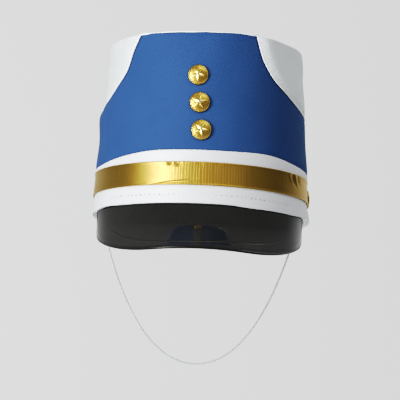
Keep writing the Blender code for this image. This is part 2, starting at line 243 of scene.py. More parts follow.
# %% Mesh helpers
def edit_mesh(mesh, change):
    """Opens a mesh, makes one change to it and closes it again."""
    build = bmesh.new()
    build.from_mesh(mesh)
    change(build)
    build.to_mesh(mesh)
    build.free()


def close_ends(build, rows):
    """Closes both ends of a section that isn't carried all the way round."""
    corners = list(build.verts)
    build.faces.new(corners[:rows][::-1])
    build.faces.new(corners[-rows:])


def set_mask(mesh, label, mask):
    """Gives every vertex a number that a finish can read."""
    layer = mesh.attributes.new(label, "FLOAT", "POINT")
    layer.data.foreach_set("value", mask.reshape(-1).astype(np.float32))


def grid_mesh(name, points, flat_map, round_way=False, loop_way=False, merge=0.0, masks=()):
    """A mesh through points[column, row]; flat_map has one more column or row where it wraps."""
    columns, rows = points.shape[:2]
    last_column = columns if round_way else columns - 1
    last_row = rows if loop_way else rows - 1
    column, row = np.meshgrid(np.arange(last_column), np.arange(last_row), indexing="ij")
    corners = [(0, 0), (1, 0), (1, 1), (0, 1)]
    faces = np.stack([
        ((column + right) % columns) * rows + (row + up) % rows for right, up in corners
    ], axis=-1).reshape(-1, 4)
    places = np.stack([flat_map[column + right, row + up] for right, up in corners], axis=2)
    mesh = bpy.data.meshes.new(name)
    mesh.from_pydata(points.reshape(-1, 3).tolist(), [], faces.tolist())
    layer = mesh.uv_layers.new(name="cloth")
    layer.data.foreach_set("uv", places.reshape(-1).astype(np.float32))
    for label, mask in masks:
        set_mask(mesh, label, mask)
    if loop_way and not round_way:
        edit_mesh(mesh, lambda build: close_ends(build, rows))
    if merge > 0.0:
        edit_mesh(mesh, lambda build: bmesh.ops.remove_doubles(build, verts=build.verts, dist=merge))
    mesh.shade_smooth()
    return mesh


def wall_section(levels, inner_steps=6, round_steps=6):
    """One section of a cloth wall: shares of the height, of the thickness and of the rounding."""
    levels = np.asarray(levels, dtype=float)
    over = np.radians(np.linspace(0.0, 180.0, round_steps + 1)[1:-1])
    under = over + math.pi
    down = np.linspace(1.0, 0.0, inner_steps + 1)
    rise = np.concatenate([levels, np.ones(len(over)), down, np.zeros(len(under))])
    side = np.concatenate([np.ones(len(levels)), np.cos(over), -np.ones(len(down)), np.cos(under)])
    lift = np.concatenate([np.zeros(len(levels)), np.sin(over), np.zeros(len(down)), np.sin(under)])
    return rise, side, lift


def cloth_wall(name, azimuths, low, high, inner, outer, levels, relief=None, whole=True):
    """A wall of cloth between two heights, with rounded edges; relief raises its outer face."""
    rise, side, lift = wall_section(levels)
    column = np.asarray(azimuths)[:, None]
    low, high = np.broadcast_to(low, column.shape), np.broadcast_to(high, column.shape)
    inner, outer = np.broadcast_to(inner, column.shape), np.broadcast_to(outer, column.shape)
    edge = (outer - inner) / 2.0
    height = low + edge + rise * (high - low - 2.0 * edge) + edge * lift
    outset = (inner + outer) / 2.0 + edge * side
    if relief is not None:
        outset = outset + relief(column + 0.0 * height, height) * (side + 1.0) / 2.0
    points = wall_points(column, height, outset)
    flat_map = np.stack([column * METRES_PER_DEGREE + 0.0 * height, height], axis=-1)
    if whole:
        last = flat_map[:1] + np.array([360.0 * METRES_PER_DEGREE, 0.0])
        flat_map = np.concatenate([flat_map, last])
    flat_map = np.concatenate([flat_map, flat_map[:, :1]], axis=1)
    return grid_mesh(name, points, flat_map, round_way=whole, loop_way=True)


def show(name, mesh):
    """Puts a mesh in the scene as an object at the origin."""
    thing = bpy.data.objects.new(name, mesh)
    bpy.context.scene.collection.objects.link(thing)
    return thing


def place_piece(piece, slot, *stands_for):
    """Attaches a finished piece to the root and hides the solids that it stands for; slot is not used."""
    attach(piece, "root")
    if stands_for:
        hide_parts(*stands_for)
    triangles = sum(len(face.vertices) - 2 for face in piece.data.polygons)
    print(piece.name + ":", triangles, "triangles")


def dress(mesh, finish, slot, *stands_for):
    """Shows a mesh under its own name and in its finish, and places it."""
    mesh.materials.append(finish)
    piece = show(mesh.name, mesh)
    place_piece(piece, slot, *stands_for)
    return piece


# %% [markdown]
# ## Node trees in a few words
# Shader groups and geometry trees are both node trees with named sockets. These helpers make
# the sockets, drop a node in, and let sums be written as calls, which keeps each tree readable.

# %% Helpers for node trees
NUMBER, COLOUR, ARROW = "NodeSocketFloat", "NodeSocketColor", "NodeSocketVector"
SHAPE, STUFF, WHOLE = "NodeSocketGeometry", "NodeSocketMaterial", "NodeSocketInt"


def new_tree(name, kind, inputs, outputs):
    """A node group with named inputs and outputs; returns it, what it is given, and its end."""
    tree = bpy.data.node_groups.new(name, kind)
    for label, socket_type, start in inputs:
        socket = tree.interface.new_socket(name=label, in_out="INPUT", socket_type=socket_type)
        if start is not None:
            socket.default_value = start
    for label, socket_type in outputs:
        tree.interface.new_socket(name=label, in_out="OUTPUT", socket_type=socket_type)
    return tree, tree.nodes.new("NodeGroupInput").outputs, tree.nodes.new("NodeGroupOutput")


def is_socket(value):
    """Whether a value is another node's output."""
    return isinstance(value, bpy.types.NodeSocket)


def feed(socket, value):
    """Gives an input socket a value, or a link from another node's output."""
    if is_socket(value):
        socket.id_data.links.new(value, socket)
    else:
        socket.default_value = value


def give(tree, end, *values):
    """Feeds a group's outputs in their order, and returns the finished group."""
    for socket, value in zip(end.inputs, values):
        feed(socket, value)
    print(tree.name + ":", len(tree.nodes), "nodes")
    return tree


def add(tree, kind, inputs=(), **settings):
    """A node with its settings, and its inputs fed by name or by number."""
    node = tree.nodes.new(kind)
    for label, value in settings.items():
        setattr(node, label, value)
    for label, value in dict(inputs).items():
        feed(node.inputs[label], value)
    return node


def calc(operation, *values, clamp=False):
    """One sum on numbers and sockets, in the tree that the sockets belong to."""
    tree = next(value.id_data for value in values if is_socket(value))
    return add(tree, "ShaderNodeMath", enumerate(values), operation=operation, use_clamp=clamp).outputs[0]


def blend(share, first, second, kind="MIX"):
    """Mixes two colours."""
    tree = next(value.id_data for value in (share, first, second) if is_socket(value))
    inputs = {"Factor": share, 6: first, 7: second}
    return add(tree, "ShaderNodeMix", inputs, data_type="RGBA", blend_type=kind).outputs[2]


def noise(place, scale, detail=2.0, roughness=0.5):
    """Soft noise between 0 and 1."""
    inputs = {"Vector": place, "Scale": scale, "Detail": detail, "Roughness": roughness}
    return add(place.id_data, "ShaderNodeTexNoise", inputs).outputs["Fac"]


def remap(value, start, end, low=0.0, high=1.0, kind="LINEAR"):
    """Stretches what lies between start and end to lie between low and high."""
    inputs = {"Value": value, "From Min": start, "From Max": end, "To Min": low, "To Max": high}
    return add(value.id_data, "ShaderNodeMapRange", inputs, interpolation_type=kind).outputs["Result"]


def solid_place(tree):
    """Places in the hat itself, in metres."""
    return add(tree, "ShaderNodeTexCoord").outputs["Object"]


def flat_place(tree):
    """The piece's own flat map, in metres."""
    return add(tree, "ShaderNodeUVMap", uv_map="cloth").outputs["UV"]


def call_group(tree, group, **values):
    """Places a shader group and returns its outputs; an underscore in a label stands for a space."""
    values.setdefault("Place", solid_place(tree))
    inputs = {label.replace("_", " "): value for label, value in values.items()}
    return add(tree, "ShaderNodeGroup", inputs, node_tree=group).outputs


print("node helpers ready")

# %% [markdown]
# ## Effects that several finishes share
# Woven cloth is two sets of threads. In twill one set makes slanting lines, in plain weave both
# run square. A wave along each direction gives both, and the product of the two is the height.

# %% Shader group: woven threads
tree, given, end = new_tree(
    "woven threads", "ShaderNodeTree",
    [("Place", ARROW, None), ("Lines Across", NUMBER, 800.0), ("Lines Up", NUMBER, 0.0),
     ("Threads Across", NUMBER, 0.0), ("Threads Up", NUMBER, 800.0), ("Unevenness", NUMBER, 0.3)],
    [("Height", NUMBER), ("Lines", NUMBER)])
shift = calc("MULTIPLY", noise(given["Place"], 90.0), given["Unevenness"])
split = add(tree, "ShaderNodeSeparateXYZ", {"Vector": given["Place"]}).outputs
waves = []
for across, up in (("Lines Across", "Lines Up"), ("Threads Across", "Threads Up")):
    turns = calc("MULTIPLY_ADD", split["Y"], given[up], calc("MULTIPLY", split["X"], given[across]))
    angle = calc("MULTIPLY", calc("ADD", turns, shift), 2.0 * math.pi)
    waves.append(calc("MULTIPLY_ADD", calc("SINE", angle), 0.5, 0.5))
bumps = calc("MULTIPLY", calc("MULTIPLY", waves[0], waves[1]), 0.45)
weave_tree = give(tree, end, calc("MULTIPLY_ADD", waves[0], 0.55, bumps), waves[0])

# %% [markdown]
# No cloth is one flat colour. Dye, handling and light soil change it slowly over the surface,
# so a soft two-size noise moves every base colour a few percent towards a second colour.

# %% Shader group: uneven tone
tree, given, end = new_tree(
    "uneven tone", "ShaderNodeTree",
    [("Place", ARROW, None), ("Colour", COLOUR, (0.8, 0.8, 0.8, 1.0)),
     ("Second Colour", COLOUR, (0.6, 0.6, 0.6, 1.0)), ("Size", NUMBER, 0.03), ("Amount", NUMBER, 0.5)],
    [("Colour", COLOUR)])
cloud = noise(given["Place"], calc("DIVIDE", 1.0, given["Size"]), 5.0, 0.62)
patches = remap(cloud, 0.35, 0.70, kind="SMOOTHSTEP")
share = calc("MULTIPLY", patches, given["Amount"], clamp=True)
tone_tree = give(tree, end, blend(share, given["Colour"], given["Second Colour"]))

# %% [markdown]
# Leatherette is embossed with a pebbled grain, and moulded plastic and thin elastic have a far
# finer one. Cells with rounded borders do for all three, at different sizes.

# %% Shader group: pebbled grain
tree, given, end = new_tree(
    "pebbled grain", "ShaderNodeTree",
    [("Place", ARROW, None), ("Size", NUMBER, 0.001), ("Softness", NUMBER, 0.5)],
    [("Height", NUMBER), ("Crease", NUMBER)])
scale = calc("DIVIDE", 1.0, given["Size"])
cells = add(tree, "ShaderNodeTexVoronoi", {
    "Vector": given["Place"], "Scale": scale, "Randomness": 0.9}, feature="DISTANCE_TO_EDGE")
border = remap(cells.outputs["Distance"], 0.0, given["Softness"], kind="SMOOTHSTEP")
fine = noise(given["Place"], calc("MULTIPLY", scale, 2.5))
grain_tree = give(tree, end, calc("MULTIPLY_ADD", fine, 0.35, border), calc("SUBTRACT", 1.0, border))

# %% [markdown]
# Ridges rub bright and hollows keep their tarnish. The same two masks, ridge and hollow, also
# carry painted light: a painted highlight line and painted shade on the peak, and painted shade
# round the buttons' outer edge. The meshes make the masks alongside their relief, and this group
# breaks them up with noise.

# %% Shader group: bright ridges and dark hollows, from wear and from painted light
tree, given, end = new_tree(
    "edge wear and painted light", "ShaderNodeTree",
    [("Place", ARROW, None), ("Colour", COLOUR, (0.8, 0.6, 0.2, 1.0)),
     ("Rubbed Colour", COLOUR, (0.9, 0.8, 0.5, 1.0)), ("Dull Colour", COLOUR, (0.2, 0.1, 0.03, 1.0)),
     ("Ridge", NUMBER, 0.0), ("Hollow", NUMBER, 0.0), ("Roughness", NUMBER, 0.3)],
    [("Colour", COLOUR), ("Roughness", NUMBER)])
patchy = remap(noise(given["Place"], 900.0, 3.0), 0.30, 0.62)
rubbed_and_lit = calc("MULTIPLY", given["Ridge"], patchy, clamp=True)
dull_and_shaded = calc("MULTIPLY", given["Hollow"], calc("MULTIPLY_ADD", patchy, 0.5, 0.5), clamp=True)
colour = blend(dull_and_shaded, given["Colour"], given["Dull Colour"])
colour = blend(rubbed_and_lit, colour, given["Rubbed Colour"])
rough = calc("MULTIPLY_ADD", dull_and_shaded, 0.25, given["Roughness"])
wear_and_painted_light_tree = give(tree, end, colour, calc("MULTIPLY_ADD", rubbed_and_lit, -0.05, rough))

# %% [markdown]
# A hat on show gathers a little dust on whatever faces up. The mask is the upward part of the
# surface's direction, broken up by fine noise.

# %% Shader group: settled dust
tree, given, end = new_tree(
    "settled dust", "ShaderNodeTree",
    [("Place", ARROW, None), ("Colour", COLOUR, (0.1, 0.1, 0.1, 1.0)),
     ("Dust Colour", COLOUR, (0.45, 0.44, 0.42, 1.0)), ("Amount", NUMBER, 0.1), ("Roughness", NUMBER, 0.3)],
    [("Colour", COLOUR), ("Roughness", NUMBER)])
direction = add(tree, "ShaderNodeNewGeometry").outputs["Normal"]
upward = add(tree, "ShaderNodeSeparateXYZ", {"Vector": direction}).outputs["Z"]
specks = remap(noise(given["Place"], 700.0, 6.0, 0.7), 0.42, 0.75)
share = calc("MULTIPLY", remap(upward, 0.1, 1.0), specks)
share = calc("MULTIPLY", share, given["Amount"], clamp=True)
dusty = blend(share, given["Colour"], given["Dust Colour"])
dust_tree = give(tree, end, dusty, calc("MULTIPLY_ADD", share, 0.6, given["Roughness"]))

# %% [markdown]
# ## Finishes
# Each finish is one Principled shader. What changes over the surface comes from the groups
# above; what is the same everywhere, such as sheen or coat, is set on the shader itself.

# %% Start and end a finish
def new_finish(name, preview, **fixed):
    """A material with its shader's fixed values set; returns it with its tree."""
    material = bpy.data.materials.new(name)
    material.use_nodes = True
    material.diffuse_color = preview
    for label, value in fixed.items():
        material.node_tree.nodes["Principled BSDF"].inputs[label.replace("_", " ")].default_value = value
    return material, material.node_tree


def set_looks(material, colour, roughness, height, depth):
    """Feeds a finish its colour, its roughness and a bump of a real depth in metres."""
    tree = material.node_tree
    shader = tree.nodes["Principled BSDF"]
    bump = add(tree, "ShaderNodeBump", {"Height": height, "Distance": depth, "Strength": 1.0})
    feed(shader.inputs["Base Color"], colour)
    feed(shader.inputs["Roughness"], roughness)
    feed(shader.inputs["Normal"], bump.outputs["Normal"])
    print("finish:", material.name)


def uneven(tree, colour, second, size, amount):
    """A colour that drifts towards a second one in patches of a size."""
    return call_group(tree, tone_tree, Colour=colour, Second_Colour=second, Size=size, Amount=amount)[0]


def woven(tree, lines_across, lines_up, threads_across, threads_up, unevenness):
    """Two sets of threads on the piece's flat map, in turns per metre; height and lines."""
    return call_group(
        tree, weave_tree, Place=flat_place(tree), Lines_Across=lines_across, Lines_Up=lines_up,
        Threads_Across=threads_across, Threads_Up=threads_up, Unevenness=unevenness)


def masked(tree, label, share):
    """A share of one of the masks that a mesh carries."""
    return calc("MULTIPLY", add(tree, "ShaderNodeAttribute", attribute_name=label).outputs["Fac"], share)


def worn_and_painted_light(tree, colour, rubbed_and_lit, dull_and_shaded, ridge, hollow, roughness):
    """Bright ridges and dark hollows, from wear and tarnish and from painted light, by shares of the two
    masks; colour and roughness.
    """
    return call_group(
        tree, wear_and_painted_light_tree, Colour=colour, Rubbed_Colour=rubbed_and_lit, Dull_Colour=dull_and_shaded, Roughness=roughness,
        Ridge=masked(tree, "ridge", ridge), Hollow=masked(tree, "hollow", hollow))


# %% Blue twill
TWILL_PITCH = 0.0019
TWILL_SLANT = math.radians(32.0)
THREAD_PITCH = 0.00045
BLUE = (0.040, 0.093, 0.220, 1.0)
BLUE_DEEP = (0.034, 0.082, 0.198, 1.0)
BLUE_LIGHT = (0.078, 0.155, 0.315, 1.0)
# A dark blue that paints the shade in the seams.
BLUE_PAINTED_SHADE = (0.008, 0.020, 0.060, 1.0)

blue_twill, tree = new_finish(
    "blue twill", BLUE, Sheen_Weight=0.04, Sheen_Roughness=0.45, Specular_IOR_Level=0.15,
    Sheen_Tint=(0.55, 0.72, 1.0, 1.0))
height, lines = woven(
    tree, -math.sin(TWILL_SLANT) / TWILL_PITCH, math.cos(TWILL_SLANT) / TWILL_PITCH,
    1.0 / THREAD_PITCH, 0.3 / THREAD_PITCH, 0.35)
lit = calc("MULTIPLY", calc("POWER", height, 1.5), 0.52)
colour = blend(lit, uneven(tree, BLUE, BLUE_DEEP, 0.035, 0.5), BLUE_LIGHT)
# Painted shade: the hollow mask darkens the blue beside the piping, along its top edge and above the band.
colour = blend(masked(tree, "hollow", 0.80), colour, BLUE_PAINTED_SHADE)
set_looks(blue_twill, colour, calc("MULTIPLY_ADD", lines, -0.10, 0.72), height, 0.00009)

# %% White cloth
WHITE = (0.778, 0.812, 0.828, 1.0)
WHITE_GREY = (0.672, 0.702, 0.718, 1.0)
WHITE_DUST = (0.55, 0.53, 0.50, 1.0)
WHITE_THREADS = 1.0 / 0.0006

white_cloth, tree = new_finish(
    "white cloth", WHITE, Sheen_Weight=0.12, Sheen_Roughness=0.5, Specular_IOR_Level=0.35)
height, lines = woven(tree, WHITE_THREADS, 0.0, 0.0, WHITE_THREADS, 0.4)
gaps = calc("MULTIPLY", calc("SUBTRACT", 1.0, height), 0.22)
colour = blend(gaps, uneven(tree, WHITE, WHITE_GREY, 0.045, 0.35), WHITE_GREY)
colour, rough = call_group(
    tree, dust_tree, Colour=colour, Dust_Colour=WHITE_DUST, Amount=0.12, Roughness=0.62)
set_looks(white_cloth, colour, rough, height, 0.00006)

# %% White piping cloth
PIPING_WHITE = (0.93, 0.95, 0.99, 1.0)
piping_cloth, tree = new_finish(
    "white piping cloth", WHITE, Sheen_Weight=0.25, Sheen_Roughness=0.4, Specular_IOR_Level=0.5)
height, crease = call_group(tree, grain_tree, Size=0.0006, Softness=0.4)
colour = uneven(tree, PIPING_WHITE, WHITE_GREY, 0.020, 0.15)
set_looks(piping_cloth, colour, calc("MULTIPLY_ADD", crease, 0.15, 0.42), height, 0.00004)

# %% White leatherette
LEATHERETTE = (0.815, 0.828, 0.868, 1.0)
LEATHERETTE_GREY = (0.745, 0.755, 0.770, 1.0)
LEATHERETTE_CREASE = (0.60, 0.60, 0.60, 1.0)
white_leatherette, tree = new_finish(
    "white leatherette", WHITE, Specular_IOR_Level=0.5, Coat_Roughness=0.35, Coat_Weight=0.08)
height, crease = call_group(tree, grain_tree, Size=0.0009, Softness=0.35)
colour = uneven(tree, LEATHERETTE, LEATHERETTE_GREY, 0.040, 0.35)
colour = blend(calc("MULTIPLY", crease, 0.16), colour, LEATHERETTE_CREASE)
set_looks(white_leatherette, colour, calc("MULTIPLY_ADD", crease, 0.12, 0.42), height, 0.00004)

# %% Gold ribbon
MESH_THREADS = 1.0 / 0.0011
GOLD_THREAD = (0.50, 0.324, 0.074, 1.0)
GOLD_LIGHT = (0.60, 0.475, 0.19, 1.0)
GOLD_DEEP = (0.37, 0.185, 0.032, 1.0)

gold_ribbon_cloth, tree = new_finish("gold ribbon cloth", GOLD_THREAD, IOR=1.5, Metallic=1.0)
height, lines = woven(tree, MESH_THREADS, 0.0, 0.0, MESH_THREADS, 0.12)
colour = uneven(tree, GOLD_THREAD, GOLD_DEEP, 0.025, 0.25)
colour = blend(calc("MULTIPLY", height, 0.35), colour, GOLD_LIGHT)
colour, rough = worn_and_painted_light(tree, colour, GOLD_LIGHT, GOLD_DEEP, 0.3, 0.75, 0.36)
set_looks(gold_ribbon_cloth, colour, rough, height, 0.00004)

# %% Black peak plastic
BLACK = (0.0205, 0.0205, 0.0185, 1.0)
BLACK_LIGHT = (0.0260, 0.0260, 0.0235, 1.0)
black_plastic, tree = new_finish("black plastic", (0.015, 0.015, 0.014, 1.0), IOR=1.5, Coat_Roughness=0.05)
# On the peak the ridge mask paints a highlight line, and the hollow mask paints shade in the groove and along
# the edge.
colour, rough = worn_and_painted_light(
    tree, uneven(tree, BLACK, BLACK_LIGHT, 0.05, 0.8), (0.050, 0.050, 0.047, 1.0),
    (0.005, 0.005, 0.005, 1.0), 0.8, 1.0, 0.10)
colour, rough = call_group(tree, dust_tree, Colour=colour, Amount=0.035, Roughness=rough)
set_looks(black_plastic, colour, rough, noise(solid_place(tree), 55.0, 1.0), 0.00004)

# %% Gilt button metal
GILT = (0.80, 0.59, 0.17, 1.0)
GILT_DEEP = (0.62, 0.41, 0.09, 1.0)
gold_metal, tree = new_finish("gold metal", (0.80, 0.56, 0.16, 1.0), IOR=1.5, Metallic=1.0)
# The hollow mask is tarnish on the ground of the face and painted shade round the outer edge and back.
colour, rough = worn_and_painted_light(
    tree, uneven(tree, GILT, GILT_DEEP, 0.005, 0.8), (0.98, 0.88, 0.52, 1.0),
    (0.30, 0.16, 0.03, 1.0), 1.0, 0.85, 0.17)
height, crease = call_group(tree, grain_tree, Size=0.0005, Softness=0.5)
set_looks(gold_metal, colour, rough, height, 0.000012)

# %% Elastic and sewing threads
BRAID_ALONG = 1.0 / 0.0009
BRAID_ROUND = 1.0 / 0.0011
elastic_finish, tree = new_finish("elastic", (0.60, 0.61, 0.62, 1.0), Specular_IOR_Level=0.5)
height, lines = woven(tree, BRAID_ALONG, BRAID_ROUND, BRAID_ALONG, -BRAID_ROUND, 0.05)
colour = uneven(tree, (0.62, 0.63, 0.64, 1.0), (0.45, 0.45, 0.46, 1.0), 0.012, 0.5)
colour = blend(calc("MULTIPLY", height, 0.4), colour, (0.80, 0.80, 0.81, 1.0))
set_looks(elastic_finish, colour, calc("MULTIPLY_ADD", lines, -0.15, 0.52), height, 0.00008)


def thread_finish(name, colour, second):
    """Sewing thread: a twist of fine fibres; the same finish, dark, paints the shade in the needle holes."""
    material, tree = new_finish(name, colour, Sheen_Weight=0.2, Specular_IOR_Level=0.4)
    height, crease = call_group(tree, grain_tree, Size=0.0003, Softness=0.5)
    colour = uneven(tree, colour, second, 0.002, 0.6)
    set_looks(material, colour, calc("MULTIPLY_ADD", crease, 0.2, 0.5), height, 0.00003)
    return material


white_thread = thread_finish("white thread", (0.80, 0.81, 0.83, 1.0), (0.62, 0.63, 0.64, 1.0))
blue_thread = thread_finish("blue thread", (0.022, 0.080, 0.290, 1.0), (0.014, 0.050, 0.190, 1.0))
# A dark blob in each needle hole is painted shade, standing in for the shade inside the hole.
needle_shade = thread_finish("needle hole shade", (0.10, 0.10, 0.11, 1.0), (0.34, 0.34, 0.35, 1.0))

# %% [markdown]
# ## What repeats: stitches and needle holes
# A sewn row is one short stitch, set again and again along a path. The tree turns a line of
# edges into a curve, cuts it into equal steps, stands a stitch on each and turns it along the
# line. The stitches are made real at the end, because an export drops instances.

# %% Geometry tree: a row of stitches
def even_steps(tree, line, step):
    """A curve through a line of edges, cut into even steps."""
    curve = add(tree, "GeometryNodeMeshToCurve", {"Mesh": line}).outputs["Curve"]
    cut = add(tree, "GeometryNodeResampleCurve", {"Curve": curve, "Length": step}, mode="LENGTH")
    return cut.outputs["Curve"]


def real_shape(tree, shape, finish):
    """The last two steps of every geometry tree: instances made real, and the finish set."""
    real = add(tree, "GeometryNodeRealizeInstances", {"Geometry": shape}).outputs["Geometry"]
    return add(tree, "GeometryNodeSetMaterial", {"Geometry": real, "Material": finish}).outputs["Geometry"]


tree, given, end = new_tree(
    "sewn row", "GeometryNodeTree",
    [("Line", SHAPE, None), ("Pitch", NUMBER, 0.003), ("Stitch Length", NUMBER, 0.0022),
     ("Thread Width", NUMBER, 0.0005), ("Thread Depth", NUMBER, 0.0004), ("Unevenness", NUMBER, 0.12),
     ("Seed", WHOLE, 1), ("Thread", STUFF, None)],
    [("Stitches", SHAPE)])
size = add(tree, "ShaderNodeCombineXYZ", {
    "X": given["Stitch Length"], "Y": given["Thread Width"], "Z": given["Thread Depth"]})
ball = add(tree, "GeometryNodeMeshUVSphere", {"Segments": 8, "Rings": 5, "Radius": 0.5})
stitch = add(tree, "GeometryNodeTransform", {
    "Geometry": ball.outputs["Mesh"], "Scale": size.outputs["Vector"]})
smooth = add(tree, "GeometryNodeSetShadeSmooth", {"Geometry": stitch.outputs["Geometry"]})
tangent = add(tree, "GeometryNodeInputTangent").outputs["Tangent"]
along = add(tree, "FunctionNodeAlignRotationToVector", {"Vector": tangent}, axis="X")
least = calc("SUBTRACT", 1.0, given["Unevenness"])
most = calc("ADD", 1.0, given["Unevenness"])
vary = add(tree, "FunctionNodeRandomValue", {2: least, 3: most, "Seed": given["Seed"]}, data_type="FLOAT")
row = add(tree, "GeometryNodeInstanceOnPoints", {
    "Points": even_steps(tree, given["Line"], given["Pitch"]), "Instance": smooth.outputs["Geometry"],
    "Rotation": along.outputs["Rotation"], "Scale": vary.outputs[1]})
stitch_tree = give(tree, end, real_shape(tree, row.outputs["Instances"], given["Thread"]))


# %% Run a geometry tree and keep its result as a plain mesh
def line_mesh(name, rows, closed=False):
    """Rows of points as lines of edges in one mesh."""
    edges, start = [], 0
    for row in rows:
        after = start + len(row)
        edges.extend(zip(range(start, after - 1), range(start + 1, after)))
        if closed:
            edges.append((after - 1, start))
        start = after
    mesh = bpy.data.meshes.new(name)
    mesh.from_pydata(np.concatenate(rows).tolist(), edges, [])
    return mesh


def run_tree(name, start_mesh, tree, **values):
    """Feeds a mesh through a geometry tree and returns the result as an object of its own."""
    host = show(name + " start", start_mesh)
    step = host.modifiers.new(tree.name, "NODES")
    step.node_group = tree
    for item in tree.interface.items_tree:
        label = item.name.replace(" ", "_")
        if item.in_out == "INPUT" and label in values:
            step[item.identifier] = values[label]
    graph = bpy.context.evaluated_depsgraph_get()
    made = bpy.data.meshes.new_from_object(
        host.evaluated_get(graph), preserve_all_data_layers=True, depsgraph=graph)
    made.name = name
    bpy.data.objects.remove(host, do_unlink=True)
    return show(name, made)


def sew(name, rows, thread, slot, seed, pitch, size, unevenness=0.08, closed=False):
    """A sewn row as a piece; size is a stitch's length, width and depth."""
    row = run_tree(
        name, line_mesh(name + " line", rows, closed), stitch_tree, Pitch=pitch, Stitch_Length=size[0],
        Thread_Width=size[1], Thread_Depth=size[2], Unevenness=unevenness, Seed=seed, Thread=thread)
    place_piece(row, slot)


# %% [markdown]
# ## The chin elastic
# A thin round elastic hangs from a knot inside each side of the crown. Slack line under its
# own weight takes the shape of a hanging chain, so two numbers settle it: how far apart the
# knots are and how deep it hangs. Its length follows from them.

# %% Hanging line
KNOT_RADIUS = 0.0022
KNOT_HEIGHT = 0.0050
SIDE_AZIMUTH = 98.5
ELASTIC_DIAMETER = 0.0014
ELASTIC_DROP = 0.1280
ELASTIC_POINTS = 157


def knot_centre(side):
    """Middle of a knot inside the crown; side is 1 for +X and -1 for -X."""
    inset = -(CROWN_WALL + GAP + KNOT_RADIUS)
    return wall_points(side * SIDE_AZIMUTH, KNOT_HEIGHT, inset)


def hanging_line(left, right, drop, count):
    """Evenly spaced points of a slack line of that drop, and its length."""
    half_span = np.linalg.norm(right - left) / 2.0
    low, high = half_span / 50.0, half_span * 50.0
    for _ in range(80):
        size = (low + high) / 2.0
        if size * (math.cosh(half_span / size) - 1.0) > drop:
            low = size
        else:
            high = size
    half_length = size * math.sinh(half_span / size)
    along = half_length * np.linspace(-1.0, 1.0, count)
    sideways = size * np.arcsinh(along / size)
    sink = drop - size * (np.cosh(sideways / size) - 1.0)
    across = (right - left) / np.linalg.norm(right - left)
    middle = (left + right) / 2.0
    points = middle + sideways[:, None] * across - sink[:, None] * np.array([0.0, 0.0, 1.0])
    return points, 2.0 * half_length


below_knot = np.array([0.0, 0.0, KNOT_RADIUS + GAP])
left_end = knot_centre(-1) - below_knot
right_end = knot_centre(1) - below_knot
elastic_line, elastic_length = hanging_line(
    left_end, right_end, ELASTIC_DROP + left_end[2], ELASTIC_POINTS)
print("elastic:", round(elastic_length, 4), "m long")


# %% Tube along a line
def tube_mesh(name, line, radius, sides=12, closed=False):
    """A round tube whose section follows the line without twisting."""
    line = np.asarray(line, dtype=float)
    count = len(line)
    if closed:
        ways = np.roll(line, -1, axis=0) - np.roll(line, 1, axis=0)
    else:
        ways = np.gradient(line, axis=0)
    ways /= np.linalg.norm(ways, axis=1)[:, None]
    start = np.array([0.0, 1.0, 0.0]) if abs(ways[0][1]) < 0.9 else np.array([1.0, 0.0, 0.0])
    first = [start - ways[0] * (start @ ways[0])]
    for way in ways[1:]:
        carried = first[-1] - way * (first[-1] @ way)
        first.append(carried / np.linalg.norm(carried))
    first = np.array(first)
    first[0] /= np.linalg.norm(first[0])
    second = np.cross(ways, first)
    turn = np.radians(np.linspace(0.0, 360.0, sides, endpoint=False))
    ring = first[:, None] * np.cos(turn)[None, :, None] + second[:, None] * np.sin(turn)[None, :, None]
    points = line[:, None] + ring * np.broadcast_to(radius, count)[:, None, None]
    steps = np.linalg.norm(np.diff(line, axis=0), axis=1)
    along = np.concatenate([[0.0], np.cumsum(steps)])
    around = np.linspace(0.0, 2.0 * math.pi * float(np.mean(radius)), sides + 1)
    if closed:
        along = np.append(along, along[-1] + np.linalg.norm(line[0] - line[-1]))
    flat_map = np.stack(np.meshgrid(along, around, indexing="ij"), axis=-1)
    mesh = grid_mesh(name, points[:, ::-1], flat_map, round_way=closed, loop_way=True)
    return mesh


elastic = show("chin_elastic_cord", tube_mesh("chin_elastic_cord", elastic_line, ELASTIC_DIAMETER / 2.0))
elastic.data.materials.append(elastic_finish)

# %% [markdown]
# Each end is tied in a small round knot. A closed line that winds three times while it goes
# round twice reads as one, and it stays within the ball that its solid fills.

# %% Knots
KNOT_RING = 0.00105
KNOT_WEAVE = 0.00052
KNOT_CORD = 0.00052


def make_knot(name, side):
    """A knot of elastic, with its axis across the hat."""
    turn = np.radians(np.linspace(0.0, 720.0, 120, endpoint=False))
    out = KNOT_RING + KNOT_WEAVE * np.cos(1.5 * turn)
    line = np.stack([KNOT_WEAVE * np.sin(1.5 * turn), out * np.cos(turn), out * np.sin(turn)], axis=-1)
    knot = show(name, tube_mesh(name, line + knot_centre(side), KNOT_CORD, sides=10, closed=True))
    knot.data.materials.append(elastic_finish)
    return knot


knot_left = make_knot("elastic_knot_left", -1)
knot_right = make_knot("elastic_knot_right", 1)
place_piece(knot_left, "elastic", "strap_knot_left")
place_piece(knot_right, "elastic", "strap_knot_right")
place_piece(elastic, "elastic", "chin_elastic")

# %% [markdown]
# ## The white crown
# The crown is one piece of white cloth over a stiff form. Beside the seam the cloth stands up
# in a soft fold, higher on the right, and the back is closed by an upright seam. The wall is a
# rule on azimuth and height, so all three are written as small rises in its outer face.

# %% Crown cloth
FOLD_CREST_LOW = 0.0050
FOLD_CREST_HIGH = 0.0086
FOLD_HEIGHT_RIGHT = 0.0042
FOLD_HEIGHT_LEFT = 0.0009


